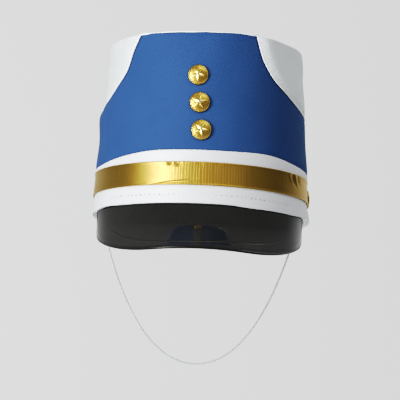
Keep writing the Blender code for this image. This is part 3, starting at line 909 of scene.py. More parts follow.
def fold_rise(azimuth, height):
    """The fold above the seam: up to a crest, then a slow fall."""
    side = signed_azimuth(azimuth - PANEL_TURN)
    crest = np.where(side > 0.0, FOLD_HEIGHT_RIGHT, FOLD_HEIGHT_LEFT)
    fade = 1.0 - smooth_step(np.abs(side), 60.0, 120.0)
    away = distance_to_seam(wall_points(azimuth, height, 0.0))
    wide = FOLD_CREST_LOW + (FOLD_CREST_HIGH - FOLD_CREST_LOW) * smooth_step(height, 0.092, 0.135)
    climb = np.clip(away / wide, 0.0, 1.0)
    climb = 0.36 + 0.64 * climb * (1.0 - 0.18 * climb ** 4) / 0.82
    fall = 1.0 - smooth_step(away, wide, wide + 0.030)
    above = smooth_step(height - seam_height(azimuth), 0.0, 0.0012)
    return crest * fade * climb * fall * above * np.sqrt(wide / FOLD_CREST_HIGH)


def back_seam_rise(azimuth, width, depth):
    """An upright seam at the back: two rolled edges with a groove between them."""
    across = np.abs(np.abs(signed_azimuth(azimuth)) - 180.0) * METRES_PER_DEGREE
    return depth * (hump(across, width, width * 0.8) - 1.4 * hump(across, 0.0, width * 0.35))


def slow_waves(azimuth, height, depth):
    """Slight waves in cloth that isn't pulled quite even."""
    turn = np.radians(azimuth)
    first = np.sin(7.0 * turn + 40.0 * height + 0.7) * np.sin(60.0 * height + 1.9 * np.cos(turn))
    second = np.sin(13.0 * turn - 55.0 * height + 2.1)
    return depth * (0.65 * first + 0.35 * second)


def crown_relief(azimuth, height):
    """All the rises in the crown's outer face."""
    free = smooth_step(height - seam_height(azimuth), 0.002, 0.012)
    hang = slow_waves(azimuth, height, 0.00022) * free
    rises = fold_rise(azimuth, height) + back_seam_rise(azimuth, 0.0016, 0.0004) * free + hang
    taper = 0.0010 * smooth_step(height, 0.1405, CROWN_HEIGHT) * smooth_step(azimuth, 45.0, 85.0)
    taper = taper * (1.0 - smooth_step(azimuth, 110.0, 150.0))
    return np.maximum(rises, 0.0) - taper + waist_swell(azimuth, height)


def waist_swell(azimuth, height):
    """Both sides of the crown stand out a little at mid height."""
    return 0.0006 * np.abs(np.sin(np.radians(azimuth))) ** 6 * hump(height, 0.080, 0.028)


def foot_lift(azimuth):
    """The crown's lower edge is trimmed a little higher above the peak's left half."""
    around = signed_azimuth(azimuth)
    front = 0.0005 * smooth_step(around, -74.0, -62.0) * (1.0 - smooth_step(around, 12.0, 26.0))
    return front + 0.0008 * hump(around, -58.0, 9.0) * smooth_step(around, -74.0, -66.0)


whole_round = np.arange(-180.0, 180.0, 0.75)
crown = show("white_crown", cloth_wall(
    "white_crown", whole_round, foot_lift(whole_round)[:, None],
    CROWN_HEIGHT + top_lift(whole_round)[:, None], -CROWN_WALL, 0.0,
    np.linspace(0.0, 1.0, 90), crown_relief))
crown.data.materials.append(white_cloth)
place_piece(crown, "white_cloth", "crown")

# %% [markdown]
# The flat top is a stiff oval of the same cloth, sewn in just below the top edge. It dips a
# little in the middle, and the sewing pulls small puckers in its rim.

# %% Crown top
TOP_DIP = 0.0009
PUCKERS = 96


def oval_disc(name, inset, high, low, rings):
    """A cloth disc with a rounded rim inside the crown."""
    azimuths = np.arange(0.0, 360.0, 1.5)[:, None]
    edge = (high - low) / 2.0
    over = np.radians(np.linspace(90.0, -90.0, 9))
    inward = np.concatenate([
        1.0 - np.linspace(0.0, 1.0, rings + 1)[:-1],
        np.zeros(len(over)),
        np.linspace(0.0, 1.0, 13)[1:],
    ])
    out = np.concatenate([np.zeros(rings), np.cos(over), np.zeros(12)])
    lift = np.concatenate([np.ones(rings), np.sin(over), -np.ones(12)])
    share = 1.0 - inward
    across = (TOP_HALF_WIDTH - inset - edge) * share + edge * out
    along = (TOP_HALF_WIDTH * OVAL_RATIO - inset - edge) * share + edge * out
    turn = np.radians(azimuths)
    upper = np.concatenate([np.ones(rings), np.clip(np.sin(over), 0.0, 1.0), np.zeros(12)])
    dip = -TOP_DIP * (1.0 - share ** 2) * upper
    gather = hump(share, 0.955, 0.03) * np.sin(PUCKERS * turn) * 0.00012 * upper
    height = (high + low) / 2.0 + edge * lift + dip + gather - 0.0004 * hump(share, 0.955, 0.012) * upper
    points = np.stack([across * np.sin(turn), -along * np.cos(turn), height + 0.0 * turn], axis=-1)
    flat_map = points[..., :2]
    flat_map = np.concatenate([flat_map, flat_map[:1]])
    return grid_mesh(name, points[:, ::-1], flat_map[:, ::-1], round_way=True, merge=1e-7)


crown_top = show("white_crown_top", oval_disc(
    "white_crown_top", CROWN_WALL + GAP, CROWN_HEIGHT - 0.0003, CROWN_HEIGHT - TOP_THICKNESS, 44))
crown_top.data.materials.append(white_cloth)
place_piece(crown_top, "white_cloth", "crown_top")

# %% [markdown]
# ## The blue panel
# The blue twill is glued and sewn over the white. It is stiff enough to stand away from the
# crown in one place on the left, its top edge wavers, and its foot tucks behind the band.

# %% Lower band's upper edge
BAND_FRONT_HEIGHT = 0.0475
BAND_BACK_HEIGHT = 0.0425


def band_height(azimuth):
    """Height of the lower band's upper edge."""
    side = signed_azimuth(azimuth)
    fall = smooth_step(-side, 20.0, 72.0) + smooth_step(side, 38.0, 100.0)
    left_sag = 0.0010 * smooth_step(-side, 20.0, 72.0) + 0.0016 * smooth_step(-side, 48.0, 84.0)
    left_sag = left_sag * (1.0 - smooth_step(-side, 92.0, 150.0))
    right_sag = 0.0015 * smooth_step(side, 40.0, 64.0) * (1.0 - smooth_step(side, 80.0, 150.0))
    swell = 0.0010 * hump(side, 33.0, 13.0) - 0.0005 * hump(side, 0.0, 70.0)
    level = BAND_FRONT_HEIGHT + (BAND_BACK_HEIGHT - BAND_FRONT_HEIGHT) * fall
    return level + swell - left_sag - right_sag


def side_flare(azimuth, height):
    """The band's upper edge stands off the crown at both sides, and lifts the blue cloth too."""
    off = height - 0.044
    rise = hump(np.maximum(off, 0.0), 0.0, 0.022) * hump(np.minimum(off, 0.0), 0.0, 0.008)
    return 0.0019 * np.abs(np.sin(np.radians(azimuth))) ** 5 * rise


# %% Blue cloth
TOP_STRIP = 0.0008
LEFT_BULGE = 0.0025


def blue_top(azimuth):
    """Upper edge of the blue cloth: just under the piping, and slightly wavy along the top."""
    front = 1.0 - smooth_step(np.abs(signed_azimuth(azimuth - PANEL_TURN)), SEAM_START - 3.0, SEAM_START)
    turn = np.radians(azimuth)
    waver = 0.00022 * np.sin(9.0 * turn + 0.6) + 0.00016 * np.sin(23.0 * turn + 1.7)
    return seam_height(azimuth) - 0.0001 - front * (TOP_STRIP - waver)


def blue_relief(azimuth, height):
    """Rises in the blue cloth."""
    bulge = LEFT_BULGE * hump(signed_azimuth(azimuth), -94.0, 30.0) * hump(height, 0.086, 0.015)
    hang = slow_waves(azimuth + 25.0, height, 0.00035)
    foot = smooth_step(height - band_height(azimuth), 0.0, 0.004)
    edge = smooth_step(blue_top(azimuth) - height, 0.0, 0.006)
    sunk = -0.0004 * (1.0 - foot)
    seam = back_seam_rise(azimuth, 0.0015, 0.0004)
    stitched = -0.00008 * hump(blue_top(azimuth) - height, 0.0027, 0.0008)
    return (bulge + hang + seam) * foot * edge + side_flare(azimuth, height) + sunk + stitched + waist_swell(
        azimuth, height)


blue_round = np.arange(-180.0, 180.0, 0.6)
blue = show("blue_cloth", cloth_wall(
    "blue_cloth", blue_round, band_height(blue_round)[:, None] - 0.0004, blue_top(blue_round)[:, None],
    GAP, PANEL_FACE, levels((0.0, 0.08, 8), (0.08, 0.90, 60), (0.90, 1.0, 16)), blue_relief))
blue.data.materials.append(blue_twill)


def mark_seam_shade(mesh):
    """Notes where the blue cloth goes down into its seams and meets the band, for painted shade there."""
    places = np.empty(3 * len(mesh.vertices))
    mesh.vertices.foreach_get("co", places)
    places = places.reshape(-1, 3)
    azimuth = np.degrees(np.arctan2(places[:, 0], -places[:, 1] / OVAL_RATIO))
    height = places[:, 2]
    beside = 1.0 - smooth_step(distance_to_seam(places), 0.0014, 0.0026)
    front = np.abs(signed_azimuth(azimuth - PANEL_TURN)) < SEAM_START + 1.0
    along_top = np.where(front, 1.0 - smooth_step(blue_top(azimuth) - height, 0.0002, 0.0013), 0.0)
    along_band = 1.0 - smooth_step(height - band_height(azimuth), 0.0002, 0.0011)
    mask = np.maximum(np.maximum(beside, along_top), 0.6 * along_band)
    set_mask(mesh, "hollow", mask)
    return int((mask > 0.5).sum())


print("blue cloth in its seams:", mark_seam_shade(blue.data), "vertices")
place_piece(blue, "blue_twill", "blue_panel")

# %% [markdown]
# White piping edges the blue cloth all the way round, over the top in front as well. It is a
# cord in a narrow strip of cloth, so a geometry tree sweeps a round section along its path.

# %% Geometry tree: a covered cord
tree, given, end = new_tree(
    "covered cord", "GeometryNodeTree",
    [("Line", SHAPE, None), ("Radius", NUMBER, 0.0009), ("Step", NUMBER, 0.0012),
     ("Sides", WHOLE, 12), ("Waver", NUMBER, 0.00005), ("Cover", STUFF, None)],
    [("Cord", SHAPE)])
spot = add(tree, "GeometryNodeInputPosition").outputs["Position"]
swing = calc("MULTIPLY", calc("SUBTRACT", noise(spot, 160.0), 0.5), 2.0)
width = calc("MULTIPLY_ADD", swing, given["Waver"], given["Radius"])
ring = add(tree, "GeometryNodeCurvePrimitiveCircle", {
    "Resolution": given["Sides"], "Radius": 1.0}, mode="RADIUS")
sized = add(tree, "GeometryNodeSetCurveRadius", {
    "Curve": even_steps(tree, given["Line"], given["Step"]), "Radius": width})
swept = add(tree, "GeometryNodeCurveToMesh", {
    "Curve": sized.outputs["Curve"], "Profile Curve": ring.outputs["Curve"]})
if "Scale" in swept.inputs:
    feed(swept.inputs["Scale"], width)
smooth = add(tree, "GeometryNodeSetShadeSmooth", {"Geometry": swept.outputs["Mesh"]})
piping_tree = give(tree, end, real_shape(tree, smooth.outputs["Geometry"], given["Cover"]))

# %% White piping
PIPING_RADIUS = 0.00095


def piping_line():
    """The piping's closed path: beside the seam, and along the top edge in front."""
    line = []
    for index, azimuth in enumerate(beside_seam):
        before, after = seam_line[max(index - 1, 0)], seam_line[min(index + 1, len(seam_line) - 1)]
        way = Vector(after - before)
        square = wall_outward(azimuth, seam_line[index][2])
        away = square.cross(way).normalized()
        if away.z < 0.0:
            away = -away
        point = Vector(seam_line[index]) + away * PIPING_RADIUS + square * (GAP + PIPING_RADIUS)
        ceiling = CROWN_HEIGHT - 0.0006 + top_lift(azimuth)
        if point.z > ceiling:
            point -= way * ((point.z - ceiling) / way.z)
        line.append(np.array(point))
    front = np.linspace(-SEAM_START, SEAM_START, 60)[1:-1] + PANEL_TURN
    from_corner = SEAM_START - np.abs(front - PANEL_TURN)
    tucked = smooth_step(from_corner, 0.0, 7.0)
    waver = 0.00008 * np.sin(9.0 * np.radians(front) + 0.6)
    height = CROWN_HEIGHT - 0.0006 - 0.0003 * tucked + waver + top_lift(front)
    over = wall_points(front, height, GAP + PIPING_RADIUS * (1.0 - tucked))
    return np.concatenate([np.array(line), over])


piping = run_tree(
    "piping_cord", line_mesh("piping line", [piping_line()], closed=True), piping_tree,
    Radius=PIPING_RADIUS, Step=0.0012, Sides=12, Waver=0.00006, Cover=piping_cloth)
place_piece(piping, "white_piping_cloth", "white_piping")

# %% [markdown]
# A row of blue stitches holds the turned edge of the panel, and the back seams have a row on
# each side. The threads lie half sunk in the cloth.

# %% Blue stitches
edge_round = np.linspace(0.0, 360.0, 721)[:-1]
edge_row = wall_points(edge_round, blue_top(edge_round) - 0.0027, PANEL_FACE - 0.00006)
sew("blue_edge_stitches", [edge_row], blue_thread, "blue_twill", 3, 0.0034,
    (0.0027, 0.00040, 0.0002), closed=True)


def back_rows(offset, low, high, outset):
    """Two upright rows, one on each side of a back seam."""
    heights = low + np.linspace(0.0, 1.0, 40) * (high - low)
    return [wall_points(180.0 + side * offset, heights, outset) for side in (-1.0, 1.0)]


blue_back = back_rows(1.9, BAND_BACK_HEIGHT + 0.003, SEAM_BACK_HEIGHT - 0.005, PANEL_FACE + 0.00022)
sew("blue_back_stitches", blue_back, blue_thread, "blue_twill", 4, 0.0034, (0.0026, 0.00045, 0.0003))

# %% White stitches on the crown
sew("crown_back_stitches", back_rows(2.0, SEAM_BACK_HEIGHT + 0.006, CROWN_HEIGHT - 0.006, 0.00030),
    white_thread, "white_cloth", 5, 0.0032, (0.0024, 0.00045, 0.0003))

rim_round = np.radians(np.linspace(0.0, 360.0, 361)[:-1])
rim_share = 0.955
rim_row = np.stack([
    (TOP_HALF_WIDTH - 0.0033) * rim_share * np.sin(rim_round),
    -(TOP_HALF_WIDTH * OVAL_RATIO - 0.0033) * rim_share * np.cos(rim_round),
    np.full(len(rim_round), CROWN_HEIGHT - 0.0003 - 0.0004 - 0.00008),
], axis=-1)
sew("crown_top_stitches", [rim_row], white_thread, "white_cloth", 6, 0.0034,
    (0.0025, 0.0005, 0.0004), closed=True)

# %% [markdown]
# ## The white band
# White leatherette wraps the foot of the crown. Its top edge is turned over, so it is thicker
# there, the peak's sewing runs through it in a shallow channel, and its ends lap at the back.

# %% Leatherette band
NEEDLE_HEIGHT = 0.0080
NEEDLE_PITCH = 0.0047
NEEDLE_END = 57.0
NEEDLE_AZIMUTHS = np.arange(-NEEDLE_END, NEEDLE_END, NEEDLE_PITCH / METRES_PER_DEGREE)
NEEDLE_AZIMUTHS = NEEDLE_AZIMUTHS[(np.abs(NEEDLE_AZIMUTHS) > 6.0) & (NEEDLE_AZIMUTHS > -54.5)]


def needle_height(azimuth):
    """The sewing line wanders a little."""
    turn = np.radians(azimuth)
    return NEEDLE_HEIGHT + 0.00035 * np.sin(4.0 * turn + 0.5) - 0.0005 * np.sin(1.5 * turn)


def band_relief(azimuth, height):
    """Rises and hollows in the leatherette."""
    below_top = band_height(azimuth) - height
    hem = 0.00025 * smooth_step(below_top, -0.0002, 0.0010) * (1.0 - smooth_step(below_top, 0.0040, 0.0090))
    inside = smooth_step(NEEDLE_END + 3.0 - np.abs(azimuth), 0.0, 6.0)
    line = needle_height(azimuth)
    channel = -0.00010 * hump(height, line, 0.0016) * inside
    nearest = np.abs((azimuth + NEEDLE_END) * METRES_PER_DEGREE % NEEDLE_PITCH)
    nearest = np.minimum(nearest, NEEDLE_PITCH - nearest)
    pit = -0.00030 * np.exp(-((nearest / 0.0007) ** 2 + ((height - line) / 0.0007) ** 2)) * inside
    lap = 0.0005 * smooth_step(signed_azimuth(azimuth - 180.0), -5.0, -4.6) * (
        1.0 - smooth_step(signed_azimuth(azimuth - 180.0), 2.6, 3.0))
    wave = slow_waves(azimuth - 40.0, height, 0.00012)
    low = 1.0 - smooth_step(height, 0.003, 0.016)
    right = 0.0014 * smooth_step(azimuth, 62.0, 86.0) * (1.0 - smooth_step(azimuth, 110.0, 150.0))
    left = 0.0006 * smooth_step(-azimuth, 62.0, 74.0) + 0.0006 * smooth_step(azimuth, 240.0, 286.0)
    return hem + channel + pit + lap + wave + side_flare(azimuth, height) + low * (right - left)


def band_foot(azimuth):
    """Height of the band's lower edge, which sags a little on the right of the peak."""
    sag = -0.0008 * smooth_step(azimuth, 12.0, 30.0) * (1.0 - smooth_step(azimuth, 56.0, 66.0))
    return sag + foot_lift(azimuth)


front_columns = np.arange(-74.0, 74.0, 0.33)
back_columns = np.arange(74.0, 286.0, 0.8)
band_columns = np.concatenate([front_columns, back_columns])
band_levels = np.concatenate([
    np.linspace(0.0, 0.10, 5), np.linspace(0.10, 0.26, 20)[1:], np.linspace(0.26, 0.82, 14)[1:],
    np.linspace(0.82, 1.0, 14)[1:]])
band = show("leatherette_band", cloth_wall(
    "leatherette_band", band_columns, band_foot(band_columns)[:, None],
    band_height(band_columns)[:, None], GAP, PANEL_FACE,
    band_levels, band_relief))
band.data.materials.append(white_leatherette)
place_piece(band, "white_leatherette", "lower_band")

# %% Painted shade in the needle holes, threads and the band's own stitches
hole_row = [
    wall_points(azimuth + np.array([-0.2, 0.2]), needle_height(azimuth), PANEL_FACE - 0.00047)
    for azimuth in NEEDLE_AZIMUTHS
]
sew("needle_holes", hole_row, needle_shade, "white_leatherette", 8, 0.01,
    (0.0011, 0.0011, 0.0004), unevenness=0.45)

hem_round = np.linspace(-180.0, 180.0, 721)[:-1]
hem_height = band_height(hem_round) - 0.0003
hem_row = wall_points(hem_round, hem_height, PANEL_FACE - 0.0002 + side_flare(hem_round, hem_height))
sew("band_hem_stitches", [hem_row], white_thread, "white_leatherette", 9, 0.0045,
    (0.0022, 0.0009, 0.0008), unevenness=0.20, closed=True)

flange_round = np.linspace(-67.0, 67.0, 270)
flange_row = wall_points(flange_round, needle_height(flange_round), -(CROWN_WALL + GAP + 0.0020))
sew("flange_stitches", [flange_row], white_thread, "white_leatherette", 10, NEEDLE_PITCH,
    (0.0038, 0.0006, 0.0005))

# %% [markdown]
# ## The gold ribbon
# The ribbon is woven from flat metallic thread, with fine upright ribs and rolled selvedges.
# It is sewn down by hand under the side buttons, so it shows a long crease low on the left, a
# few puckers on its top edge and curved pulls on the right. The creases are rises in the sheet,
# and a geometry tree then raises the ribs along each vertex's own direction.

# %% Ribbon with its creases
RIBBON_LOW = 0.0162
RIBBON_WIDTH = 0.0204
RIBBON_END = 101.0


CREASE_ROUND = (-34.0, -27.7, -23.9, -20.1, -16.4, -10.8, -5.7, 0.3, 6.8, 13.5, 22.0)
CREASE_UP = (-0.04, 0.026, 0.071, 0.120, 0.168, 0.211, 0.253, 0.295, 0.314, 0.327, 0.334)
PUCKERS_AT = ((-17.2, 0.22, 0.0010), (-12.8, 0.28, 0.0012), (-1.0, 0.35, 0.0003), (9.0, 0.2, 0.0002))
PULLS_AT = ((54.5, 0.0005), (57.2, -0.0008), (60.2, 0.0006), (63.0, -0.0005))


def ribbon_relief(azimuth, height):
    """Creases, puckers and pulls in the ribbon."""
    up = (height - RIBBON_LOW) / RIBBON_WIDTH
    crease_up = np.interp(azimuth, CREASE_ROUND, CREASE_UP)
    there = smooth_step(azimuth, -36.0, -30.0) * (1.0 - smooth_step(azimuth, -12.0, 4.0))
    crease = -0.00030 * hump(up, crease_up, 0.022) * there
    shelf = 0.00022 * smooth_step(crease_up - up, -0.014, 0.014) * there
    puckers = 0.0
    for centre, tall, deep in PUCKERS_AT:
        puckers = puckers - deep * hump(azimuth, centre, 1.25) * smooth_step(up, 1.0 - tall, 1.0)
    pulls = 0.0
    for centre, strength in PULLS_AT:
        bow = centre + 14.0 * (0.95 - up) ** 2
        pulls = pulls + strength * hump(azimuth, bow, 1.3) * hump(up, 0.76, 0.22)
    selvedge = 0.00016 * (hump(up, 0.03, 0.03) + hump(up, 0.97, 0.03))
    ends = 0.0005 * smooth_step(np.abs(azimuth), RIBBON_END - 4.0, RIBBON_END - 2.0)
    sway = slow_waves(azimuth * 1.3, height, 0.00012)
    return crease + shelf + puckers + pulls + selvedge + ends + sway + side_flare(azimuth, height)


RIB_PITCH = 0.0026
RIB_HEIGHT = 0.00010
ribbon_columns = np.linspace(-RIBBON_END, RIBBON_END, 1201)
ribbon_flat = cloth_wall(
    "gold_ribbon_cloth", ribbon_columns, RIBBON_LOW, RIBBON_LOW + RIBBON_WIDTH, GAP + PANEL_FACE,
    RIBBON_FACE - 0.0002, np.concatenate([np.linspace(0.0, 0.40, 30), np.linspace(0.40, 1.0, 18)[1:]]),
    ribbon_relief, whole=False)


# %% Geometry tree: upright ribs
tree, given, end = new_tree(
    "woven ribs", "GeometryNodeTree",
    [("Strip", SHAPE, None), ("Rib Pitch", NUMBER, 0.0013), ("Rib Height", NUMBER, 0.0001),
     ("Along Middle", NUMBER, 0.0), ("Along Reach", NUMBER, 0.1), ("Finish", STUFF, None)],
    [("Ribbed Strip", SHAPE)])
flat = add(tree, "GeometryNodeInputNamedAttribute", {"Name": "cloth"}, data_type="FLOAT_VECTOR")
along = add(tree, "ShaderNodeSeparateXYZ", {"Vector": flat.outputs["Attribute"]}).outputs["X"]
turns = calc("MULTIPLY_ADD", noise(along, 130.0), 1.4, calc("DIVIDE", along, given["Rib Pitch"]))
raised = calc("MULTIPLY_ADD", calc("SINE", calc("MULTIPLY", turns, 2.0 * math.pi)), 0.5, 0.5)
off = calc("ABSOLUTE", calc("SUBTRACT", along, given["Along Middle"]))
strong = calc("SUBTRACT", 1.3, calc("DIVIDE", off, given["Along Reach"]), clamp=True)
strength = calc("MULTIPLY_ADD", strong, 0.88, 0.12)
rise = calc("MULTIPLY", calc("MULTIPLY", raised, given["Rib Height"]), strength)
normal = add(tree, "GeometryNodeInputNormal").outputs["Normal"]
offset = add(tree, "ShaderNodeVectorMath", {0: normal}, operation="SCALE")
feed(offset.inputs["Scale"], rise)
shape = add(tree, "GeometryNodeSetPosition", {
    "Geometry": given["Strip"], "Offset": offset.outputs["Vector"]}).outputs["Geometry"]
sunk = calc("MULTIPLY", calc("SUBTRACT", 1.0, raised), strength)
for label, value in (("ridge", raised), ("hollow", sunk)):
    noted = add(tree, "GeometryNodeStoreNamedAttribute", {
        "Geometry": shape, "Name": label, "Value": value}, data_type="FLOAT", domain="POINT")
    shape = noted.outputs["Geometry"]
rib_tree = give(tree, end, real_shape(tree, shape, given["Finish"]))
ribbon = run_tree(
    "gold_ribbon_cloth", ribbon_flat, rib_tree, Rib_Pitch=RIB_PITCH, Rib_Height=RIB_HEIGHT,
    Along_Middle=5.0 * METRES_PER_DEGREE, Along_Reach=0.032, Finish=gold_ribbon_cloth)
place_piece(ribbon, "gold_ribbon_cloth", "gold_ribbon")

# %% [markdown]
# ## The peak
# The peak is one moulded sheet of glossy black plastic. It slopes steeply in front, hollows a
# little on the way down, and carries a pressed groove and a fine bead near its rounded edge.
# The section runs down the upper face, round the edge, back underneath and up the flange.

# %% Peak sizes and edges
PEAK_HALF_ARC = 70.0
PEAK_FLANGE = 0.0110
PEAK_REACH = 0.0430
PEAK_OVERHANG = 0.0030
PEAK_DROP = 0.0422
PEAK_ARCH = 0.0018
PEAK_ARCH_SPREAD = 0.55
PEAK_CORNER_POWER = 2.8
PEAK_THICKNESS = 0.0020
GROOVE_AT = (-0.73, -0.53, -0.36, -0.22, 0.0, 0.36, 0.64)
GROOVE_FROM_EDGE = (0.021, 0.016, 0.0125, 0.010, 0.011, 0.014, 0.018)
BEAD_AT = (-0.75, -0.50, 0.0, 0.16, 0.50, 0.66)
BEAD_FROM_EDGE = (0.006, 0.003, 0.003, 0.0045, 0.006, 0.0065)


def peak_fall(share):
    """Share of the drop along the edge: full in front, none where the edge meets the rim."""
    return (1.0 - np.abs(share) ** PEAK_CORNER_POWER) ** (1.0 / PEAK_CORNER_POWER)


def peak_root(share, height, inset=0.0):
    """Points of the peak against the crown's inner face."""
    return wall_points(share * PEAK_HALF_ARC, height, -(CROWN_WALL + GAP + inset))


def peak_start(share):
    """Points under the crown's outer face, where the sloping sheet begins."""
    return wall_points(share * PEAK_HALF_ARC, -GAP, 0.0)


def peak_edge(share):
    """Points of the peak's outer edge."""
    corner, middle = peak_root(1.0, 0.0), peak_root(0.0, 0.0)
    reach = PEAK_REACH + CROWN_WALL + GAP
    across = corner[0] + PEAK_OVERHANG
    forward = -middle[1] + reach + corner[1]
    turn = np.radians(90.0) * share
    side = np.abs(share)
    arch = PEAK_ARCH * (1.0 - smooth_step(side, 0.0, PEAK_ARCH_SPREAD))
    wave = 0.0005 + 0.0008 * hump(side, 0.38, 0.14) - 0.0015 * smooth_step(side, 0.50, 0.80)
    return np.stack([
        across * np.sin(turn),
        corner[1] - forward * np.cos(turn),
        arch - GAP - (PEAK_DROP + wave) * peak_fall(share),
    ], axis=-1)


# %% [markdown]
# A glossy sheet is judged by what it mirrors. In front, the peak shows the blue cloth and a trace
# of the lowest button, and above them only the dim room. So the slope is worked out: at each
# place down the middle it is the one that sends the camera's view to a wanted height on the cloth.

# %% Slopes from what the gloss mirrors
STEEP_PART = 0.33
MIRROR_PLACES = (0.36, 0.385, 0.41, 0.435, 0.46, 0.485, 0.52, 0.60, 0.80, 1.0)
MIRROR_HEIGHTS = (0.150, 0.112, 0.086, 0.071, 0.060, 0.055, 0.053, 0.053, 0.053, 0.053)
FLATTEST = 0.4
STEEPEST = 1.06
eye = towards_camera * CAMERA_DISTANCE


def halve(rule, low, high):
    """The place between two values where a rising rule crosses nought."""
    for step in range(24):
        middle = (low + high) / 2.0
        if rule(middle) > 0.0:
            high = middle
        else:
            low = middle
    return (low + high) / 2.0


def mirrored_height(slope, forward, height):
    """Height on the cloth that a sloping place on the peak's middle mirrors to the camera."""
    seen = math.atan2(height - eye.z, forward - eye.y)
    bounced = 2.0 * math.atan(slope) - seen
    if bounced > math.radians(89.9):
        return CROWN_HEIGHT * 10.0
    met = height
    for step in range(10):
        met = height + (-OVAL_RATIO * half_width(met) - PANEL_FACE - forward) * math.tan(bounced)
    return met


def slopes_down(first):
    """The slopes at the mirror's places, and the height that the edge then has."""
    place, height, last, found = STEEP_PART, -GAP - first * STEEP_PART * PEAK_REACH, first, []
    for way, wanted in zip(MIRROR_PLACES, MIRROR_HEIGHTS):
        forward = -OVAL_RATIO * RIM_HALF_WIDTH - PEAK_REACH * way
        step = (way - place) * PEAK_REACH / 2.0
        slope = halve(
            lambda slope: mirrored_height(slope, forward, height - (last + slope) * step) - wanted,
            FLATTEST, STEEPEST)
        height = height - (last + slope) * step
        place, last = way, slope
        found.append(slope)
    return found, height


middle_drop = float(peak_edge(np.array([0.0]))[0, 2])
first_slope = halve(lambda first: middle_drop - slopes_down(first)[1], 0.9, 1.6)
slope_places = (0.0, STEEP_PART) + MIRROR_PLACES
slopes = [first_slope, first_slope] + slopes_down(first_slope)[0]
print("slopes down the peak:", [round(value, 2) for value in slopes])

# %% Peak surface from its edges
shares = np.sin(np.radians(90.0) * np.linspace(-1.0, 1.0, 221))
root = peak_start(shares)
edge_line = peak_edge(shares)
sheet_length = np.linalg.norm(edge_line - root, axis=1)
to_edge = np.linspace(1.0, 0.0, 96) ** 2.0
way = 1.0 - to_edge
upper = root[:, None] + (edge_line - root)[:, None] * way[None, :, None]
slope = np.interp(way, slope_places, slopes)
sunk = np.concatenate([[0.0], np.cumsum((slope[1:] + slope[:-1]) / 2.0 * np.diff(way))])
hollowed = PEAK_REACH * (sunk - way * sunk[-1])
upper[..., 2] -= hollowed * peak_fall(shares)[:, None]
down_way = np.gradient(upper, axis=1)
down_way /= np.linalg.norm(down_way, axis=2)[..., None]
side_way = np.gradient(upper, shares, axis=0)
face_way = np.cross(down_way, side_way)
face_way /= np.linalg.norm(face_way, axis=2)[..., None]
print("peak sheet:", round(1000 * float(sheet_length.max()), 1), "mm deep in front")

# %% Peak mesh
from_edge = sheet_length[:, None] * to_edge[None, :]
groove_line = np.interp(shares, GROOVE_AT, GROOVE_FROM_EDGE)[:, None]
room = (1.0 - smooth_step(np.abs(shares + 0.04), 0.62, 0.76))[:, None]
groove = -0.00006 * hump(from_edge, groove_line, 0.0010) * room
bank = 0.00001 * hump(from_edge, groove_line + 0.0020, 0.0012) * room
bead_room = smooth_step(sheet_length, 0.006, 0.014)[:, None]
bead_line = np.interp(shares, BEAD_AT, BEAD_FROM_EDGE)[:, None]
bead = 0.00002 * hump(from_edge, bead_line, 0.0010) * bead_room
lip = -0.00030 * (1.0 - smooth_step(from_edge, 0.0008, bead_line + 0.0010)) * bead_room
raised = groove + bank + bead + lip
top_face = upper + face_way * raised[..., None]
thickness = PEAK_THICKNESS * (0.45 + 0.55 * smooth_step(1.0 - np.abs(shares), 0.0, 0.08))
under_face = upper - face_way * thickness[:, None, None]
# Painted light on the upper face: a painted highlight line beside the groove, and painted shade in the groove
# and along the outer edge.
painted_highlight_mask = 0.7 * hump(from_edge, groove_line - 0.0020, 0.0006) * room
groove_shade_mask = hump(from_edge, groove_line, 0.0007) * room
edge_shade_mask = 0.9 * (1.0 - smooth_step(from_edge, 0.0014, 0.0030)) * bead_room
painted_shade_mask = np.maximum(groove_shade_mask, edge_shade_mask)

half = thickness[:, None] / 2.0 + lip[:, -1:] / 2.0
edge_middle = (top_face[:, -1] + under_face[:, -1]) / 2.0 - down_way[:, -1] * 0.0007
over = np.radians(np.linspace(0.0, 180.0, 9)[1:-1])
rounded = (
    edge_middle[:, None]
    + face_way[:, -1][:, None] * (half * np.cos(over))[..., None]
    + down_way[:, -1][:, None] * (half * np.sin(over))[..., None] * 0.9
)
flange_down = np.linspace(1.0, 0.0, 12)
flange_heights = -GAP + (PEAK_FLANGE + GAP) * flange_down
flange_outer = np.stack([peak_root(shares, height) for height in flange_heights[:-1]], axis=1)
flange_inner = np.stack([
    peak_root(shares, height, PEAK_THICKNESS) for height in reversed(flange_heights[1:-1])], axis=1)
flange_top = np.stack([
    peak_root(shares, PEAK_FLANGE + 0.0004 * math.sin(turn), PEAK_THICKNESS * (0.5 - 0.5 * math.cos(turn)))
    for turn in np.radians([150.0, 110.0, 70.0, 30.0])], axis=1)
section = np.concatenate([
    flange_outer, top_face[:, :-2], rounded, under_face[:, -3::-1][:, :-1], flange_inner, flange_top], axis=1)
rest_of_section = section.shape[1] - flange_outer.shape[1] - (painted_highlight_mask.shape[1] - 2) - rounded.shape[1]


def section_mask(upper_mask, rounded_mask):
    """A mask for the whole section: none on the flange and underneath."""
    return np.concatenate([
        np.zeros(flange_outer.shape[:2]), upper_mask[:, :-2],
        np.full(rounded.shape[:2], rounded_mask), np.zeros((len(shares), rest_of_section))], axis=1)


steps_down = np.linalg.norm(np.diff(section, axis=1, append=section[:, :1]), axis=2)
run_down = np.concatenate([np.zeros((len(shares), 1)), np.cumsum(steps_down, axis=1)], axis=1)
run_across = np.broadcast_to((shares * PEAK_HALF_ARC * METRES_PER_DEGREE)[:, None], run_down.shape)
peak_map = np.stack([run_across, -run_down], axis=-1)
peak_mesh = grid_mesh("moulded_peak", section[:, ::-1], peak_map[:, ::-1], loop_way=True)
